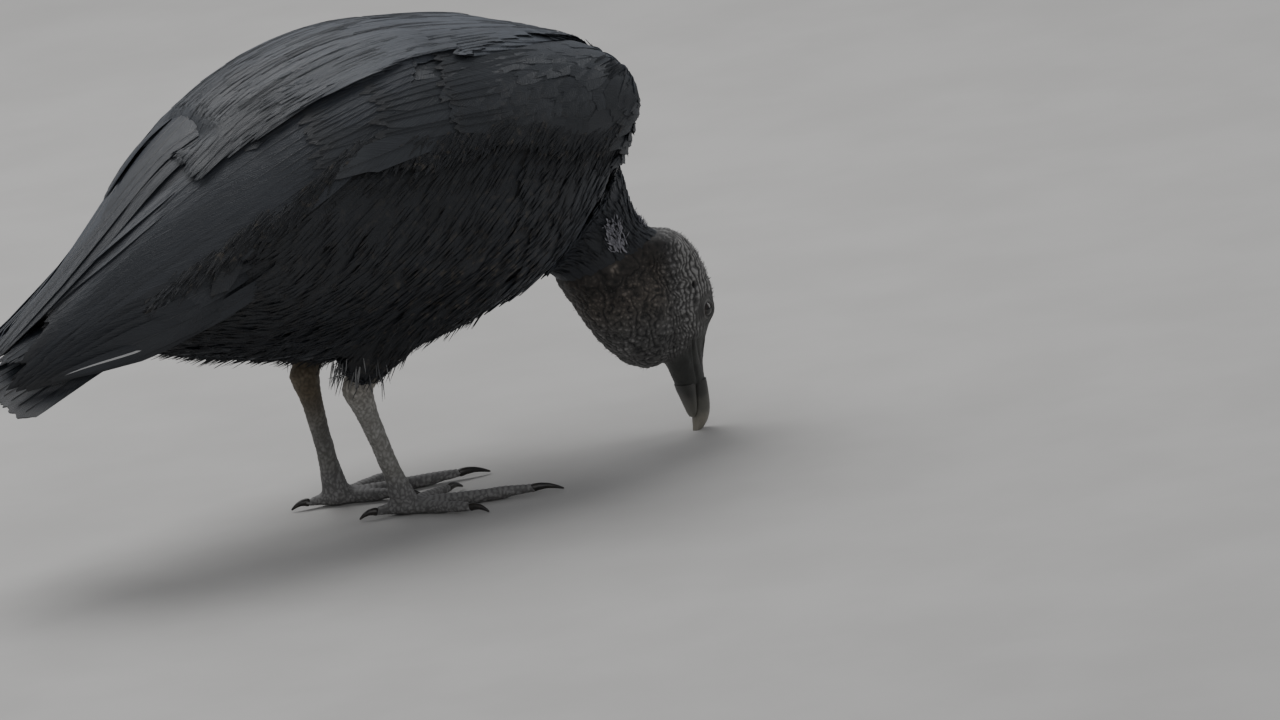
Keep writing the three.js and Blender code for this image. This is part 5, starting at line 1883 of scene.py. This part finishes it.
# %% Bill
BILL_UPPER = [
    # ahead, ridge, cutting edge, half width, mm
    (43, 6.6, -3.0, 7.4),
    (46, 7.0, -3.6, 7.2),
    (54, 7.5, -4.0, 6.2),
    (60, 7.2, -4.4, 5.4),
    (65, 6.0, -5.2, 4.4),
    (69, 3.6, -6.3, 3.2),
    (72, 0.0, -7.2, 2.0),
    (74, -3.4, -7.6, 1.0),
]
BILL_LOWER = [
    (43, -1.5, -12.4, 6.7),
    (46, -1.8, -11.8, 6.5),
    (52, -2.6, -10.0, 5.7),
    (58, -3.5, -8.3, 4.6),
    (62, -4.8, -7.3, 3.2),
    (63.5, -5.8, -6.9, 1.8),
]
BILL_ROUNDNESS = 2.3


def eased(table, count):
    """Rows between a table's rows, along smooth curves."""
    rows = np.array(table, float)
    slopes = np.gradient(rows, rows[:, 0], axis=0)
    ahead = np.linspace(rows[0, 0], rows[-1, 0], count)
    i = np.clip(np.searchsorted(rows[:, 0], ahead) - 1, 0, len(rows) - 2)
    width = (rows[i + 1, 0] - rows[i, 0])[:, None]
    t = (ahead - rows[i, 0])[:, None] / width
    start = (2 * t ** 3 - 3 * t ** 2 + 1) * rows[i] + (t ** 3 - 2 * t ** 2 + t) * width * slopes[i]
    return start + (3 * t ** 2 - 2 * t ** 3) * rows[i + 1] + (t ** 3 - t ** 2) * width * slopes[i + 1]


def horn_mesh(name, table, ridge, rim, count=56, around=64):
    """A closed horn; ridge sharpens its top and rim curls its lower edges in."""
    rows = eased(table, count)
    angle = np.linspace(0, 2 * math.pi, around, endpoint=False)
    bend = lambda c: np.sign(c) * np.abs(c) ** (2 / BILL_ROUNDNESS)
    spots = []
    for row_number, (ahead, top, bottom, half) in enumerate(rows):
        tall = (top - bottom) / 2
        along = row_number / (count - 1)
        up = (top + bottom) / 2 + tall * bend(np.sin(angle))
        left = half * bend(np.cos(angle))
        left = left * (1 - ridge * np.clip(np.sin(angle), 0, 1) ** 2)
        rings = 0.06 * np.sin(ahead * 5.1 + 2.0 * np.sin(angle)) * (1 - along)
        ring = np.column_stack([np.full(around, ahead), up, left * (1 + rings * 0.12)])
        under = np.sin(angle) < -0.6
        ring[under, 1] += rim * (1 - (left[under] / half) ** 2)
        spots.append(ring)
    spots = np.concatenate(spots)
    faces = []
    for i in range(count - 1):
        for j in range(around):
            k = (j + 1) % around
            faces.append((i * around + j, i * around + k, (i + 1) * around + k, (i + 1) * around + j))
    faces.append(tuple(range(around))[::-1])
    faces.append(tuple(range((count - 1) * around, count * around)))
    mesh = bpy.data.meshes.new(name)
    mesh.from_pydata(from_head(spots).tolist(), [], faces)
    tidy_normals(mesh)
    mesh.set_sharp_from_angle(angle=math.radians(55))
    wear = np.zeros((len(spots), 4))
    wear[:, 0] = soft_step(spots[:, 0], 43, 74)
    wear[:, 1] = soft_step(spots[:, 1], 2, 7)
    layer = mesh.attributes.new("marks", "FLOAT_COLOR", "POINT")
    layer.data.foreach_set("color", wear.astype(np.float32).ravel())
    return mesh


def horn_finish():
    """Greyish brown horn, pale towards the point."""
    finish = Finish("bill_horn", Roughness=0.42)
    finish.shader.inputs["Coat Weight"].default_value = 0.12
    finish.shader.inputs["Coat Roughness"].default_value = 0.3
    wear_and_painted_light, ridge, _, _ = finish.marks()
    cloud = finish.noise(finish.spot(), 160.0, 4.0)
    grain = finish.noise(finish.spot(), 1500.0, 3.0)
    edge = finish.math("ADD", wear_and_painted_light, finish.math("MULTIPLY", finish.math("SUBTRACT", cloud, 0.5), 0.5))
    base = finish.ramp(edge, [(0.0, (0.038, 0.038, 0.035)), (0.5, (0.105, 0.102, 0.087)), (1.0, (0.23, 0.213, 0.175))])
    base = finish.mix(finish.math("MULTIPLY", ridge, 0.4), base, (0.035, 0.033, 0.030, 1))
    finish.links.new(base, finish.shader.inputs["Base Color"])
    finish.links.new(finish.bump(grain, 0.0002), finish.shader.inputs["Normal"])
    return finish.material


def dress_horn(mesh, name, finish, replaced):
    """A horn mesh as a piece of the bird."""
    mesh.materials.clear()
    mesh.materials.append(finish)
    horn = object_of(name, mesh)
    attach(horn, "root")
    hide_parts(replaced)


HORN_FINISH = horn_finish()
upper_mesh = horn_mesh("upper_horn", BILL_UPPER, 0.22, 0.5)
lower_mesh = horn_mesh("lower_horn", BILL_LOWER, 0.0, 0.0)
for horn_piece in (upper_mesh, lower_mesh):
    spots = points_of(horn_piece)
    spots[:, 2] = np.maximum(spots[:, 2], 0.0)
    move_points(horn_piece, spots)
dress_horn(upper_mesh, "upper_horn", HORN_FINISH, "bill_upper")
dress_horn(lower_mesh, "lower_horn", HORN_FINISH, "bill_lower")
print("bill: lowest point", round(float(points_of(upper_mesh)[:, 2].min()) / MM, 2), "mm above the floor")


# %% Claws
def claw_finish():
    """Near-black horn, clouded with brown."""
    finish = Finish("claw_horn", Roughness=0.35)
    cloud = finish.noise(finish.spot(), 300.0, 3.0)
    base = finish.ramp(cloud, [(0.3, (0.012, 0.011, 0.011)), (0.8, (0.045, 0.038, 0.032))])
    finish.links.new(base, finish.shader.inputs["Base Color"])
    return finish.material


def rounded_copy(name):
    """A solid's mesh, subdivided so that it is smooth."""
    mesh = copy_of(name, 0)
    obj = object_of("rounding", mesh)
    finer = obj.modifiers.new("finer", "SUBSURF")
    finer.levels = 2
    finer.render_levels = 2
    mesh = finished_mesh(obj)
    mesh.polygons.foreach_set("use_smooth", np.ones(len(mesh.polygons), bool))
    return mesh


CLAW_FINISH = claw_finish()
for side_name in SIDES:
    for toe in ("inner", "middle", "outer", "hind"):
        claw = f"claw_{side_name}_{toe}"
        dress_horn(rounded_copy(claw), claw + "_horn", CLAW_FINISH, claw)
print("claws: 8")

# %% [markdown]
# ## Last small things
#
# Short pale bristles stand on the crown and nape, like the fuzz on a peach. White down shows at the side of the
# neck, where the ruff's feathers have parted, and loose barbs hang from the belly.

# %% Bristles and down
skin_surface = Surface(skin_mesh)


def crown_spots(count, random):
    """Places on the bare head with their normals, more of them on the crown."""
    picks = random.integers(0, len(skin_surface.triangles), count * 14)
    middles = skin_surface.points[skin_surface.triangles[picks]].mean(1)
    normals = unit(skin_surface.normals[skin_surface.triangles[picks]].mean(1))
    spots = in_head(middles)
    gap = np.min([np.linalg.norm(spots - c, axis=1) for c in EYE_PLACE.values()], axis=0)
    good = (bareness(middles) > 1) & (stance(middles)[:, 0] > 130) & (smooth_face(spots) < 0.4) & (gap > 9)
    good &= random.random(len(spots)) < 0.25 + 0.75 * soft_step(spots[:, 1], -10, 12)
    return middles[good][:count], normals[good][:count]


def grow_spikes(coat, roots, ways, long, half, marks, rows=4):
    """Thin spikes from these roots."""
    t = np.linspace(0, 1, rows)[None, :, None]
    path = roots[:, None] + ways[:, None] * t * np.asarray(long).reshape(-1, 1, 1)
    normals = unit(np.cross(ways, np.cross(ways, [0.3, 0.9, 0.2]) + 1e-6))[:, None] + np.zeros_like(path)
    points, vane_uv, facing = vanes(path, normals, np.full(len(roots), half), rows, 2, shape="lock", tip_round=0.0,
                            camber=0.0, thickness=half)
    coat.add(facing, points, vane_uv * [0.05, 1.0] + [0.475, 0.0], rows, 2, roots, marks)


BRISTLE_FINISH = plumage_finish("bristles", (0.05, 0.048, 0.046), (0.16, 0.155, 0.15), 0.6, 10.0, 0.0001)
DOWN_FINISH = plumage_finish("down", (0.10, 0.10, 0.115), (0.34, 0.335, 0.37), 0.7, 14.0, 0.0002)


def grow_bristles():
    """Bristles that lean back along the head."""
    random = np.random.default_rng(21)
    roots, normals = crown_spots(2400, random)
    back = unit(place(HEAD_ORIGIN - HEAD_AHEAD) - place(HEAD_ORIGIN))
    ways = unit(normals * 0.9 + back * 0.8 + random.normal(0, 0.35, roots.shape))
    long = random.uniform(0.8, 2.6, len(roots)) * MM
    coat = Coat("head_bristles")
    grow_spikes(coat, roots - normals * 0.0003, ways, long, 0.00009, feather_marks(len(roots), 0.6, random))
    return coat


grow_bristles().make(BRISTLE_FINISH, "body_feathers")

DOWN_PATCHES = [
    # centre, mm; spread, mm; how many tufts; length, mm
    ((156, -42, 126), (6.5, 3.0, 8.5), 150, 6.0),
    ((179, -27, 126), (0.8, 2.2, 8.0), 60, 4.5),
]


def grow_down():
    """Small white tufts on the neck."""
    random = np.random.default_rng(22)
    coat = Coat("neck_down")
    for centre, spread, count, long in DOWN_PATCHES:
        spots = place(np.array(centre) + np.clip(random.normal(0, 0.55, (count, 3)), -1.2, 1.2) * spread)
        roots, normals = guide.snap(spots)
        path, lifts = trails(roots, random.uniform(0.6, 1.1, count) * long * MM, 5, guide)
        path = rooted(path, lifts, 0.0012, random.uniform(1.0, 2.0, count) * MM)
        path += np.linspace(0, 1, 5)[None, :, None] * random.normal(0, 1.0, (count, 1, 3)) * MM
        points, vane_uv, facing = vanes(path, lifts, random.uniform(0.3, 0.7, count) * MM, 5, 2, shape="lock", tip_round=0.0,
                                thickness=0.0004)
        coat.add(facing, points, vane_uv, 5, 2, roots, feather_marks(count, random.uniform(0.3, 1, count), random))
    return coat


grow_down().make(DOWN_FINISH, "body_feathers")


def grow_fringe():
    """Hair-like barbs that hang back from the belly's outline."""
    random = np.random.default_rng(23)
    count = 1500
    ahead = random.uniform(-130, 70, count)
    out = random.uniform(-68, 68, count)
    low = place(np.column_stack([ahead, out, np.full(count, 10.0)]))
    hits = [guide.tree.ray_cast(spot, (0, 0, 1))[0] for spot in low.tolist()]
    keep = np.array([hit is not None for hit in hits])
    roots, normals = guide.snap(np.array([hit for hit in hits if hit is not None]))
    ahead, out = ahead[keep], out[keep]
    ways = unit(lie(roots, normals) + normals * random.uniform(0.15, 0.6, (len(roots), 1)))
    long = random.uniform(7, 15, len(roots)) * MM
    coat = Coat("belly_fringe")
    grow_spikes(coat, roots - normals * 0.0015, ways, long, 0.00032, feather_marks(len(roots), 0.05, random), rows=5)
    spots = place(random.uniform((-28, -42, 90), (-8, -20, 104), (80, 3)))
    roots, normals = guide.snap(spots)
    ways = unit(np.array([-0.25, 0, -1.0]) + 0.35 * normals + random.normal(0, 0.16, roots.shape))
    marks = feather_marks(len(roots), 0.05, random, white=random.uniform(0.05, 0.4, len(roots)))
    grow_spikes(coat, roots, ways, random.uniform(8, 17, len(roots)) * MM, 0.0003, marks, rows=5)
    return coat


grow_fringe().make(SMALL_FINISH, "body_feathers")


def grow_wing_edge(side_name):
    """Frayed dusty barbs along the lower edge of a folded wing."""
    random = np.random.default_rng(24 + SIDES[side_name])
    count = 900
    ahead = random.uniform(-150, 150, count)
    high = np.interp(ahead, *WING_EDGE) + random.normal(0, 3.2, count) + 2.5
    out = np.where(ahead > -60, -97.0, -97 + 0.45 * (-60 - ahead))
    lines = np.stack([np.column_stack([ahead, out, high])] * 2, 1)
    lines[:, 1] += np.column_stack([-random.uniform(7, 17, count), np.zeros(count), -random.uniform(5, 13, count)])
    path, normals = laid_on_guide(lines, side_name, 5)
    path = rooted(path, normals, 0.0002, random.uniform(0.6, 2.2, count) * MM)
    points, vane_uv, facing = vanes(path, normals, random.uniform(0.4, 1.2, count) * MM, 5, 2, shape="lock",
                                    tip_round=0.0, thickness=0.0004)
    coat = Coat("wing_edge_" + side_name, 0.5)
    marks = feather_marks(count, 0.08, random, dust=random.uniform(0, 0.5, count))
    coat.add(facing, points, vane_uv * [0.3, 1.0] + [0.3, 0.0], 5, 2, path[:, 0], marks)
    return coat


def laid_on_guide(lines, side_name, rows):
    """Paths on the guide, from places given for the right side."""
    path = resampled(lines, rows)
    path[..., 1] *= -SIDES[side_name]
    places, normals = guide.snap(place(path).reshape(-1, 3))
    return places.reshape(path.shape), normals.reshape(path.shape)


for side_name in SIDES:
    grow_wing_edge(side_name).make(SMALL_FINISH, "body_feathers")
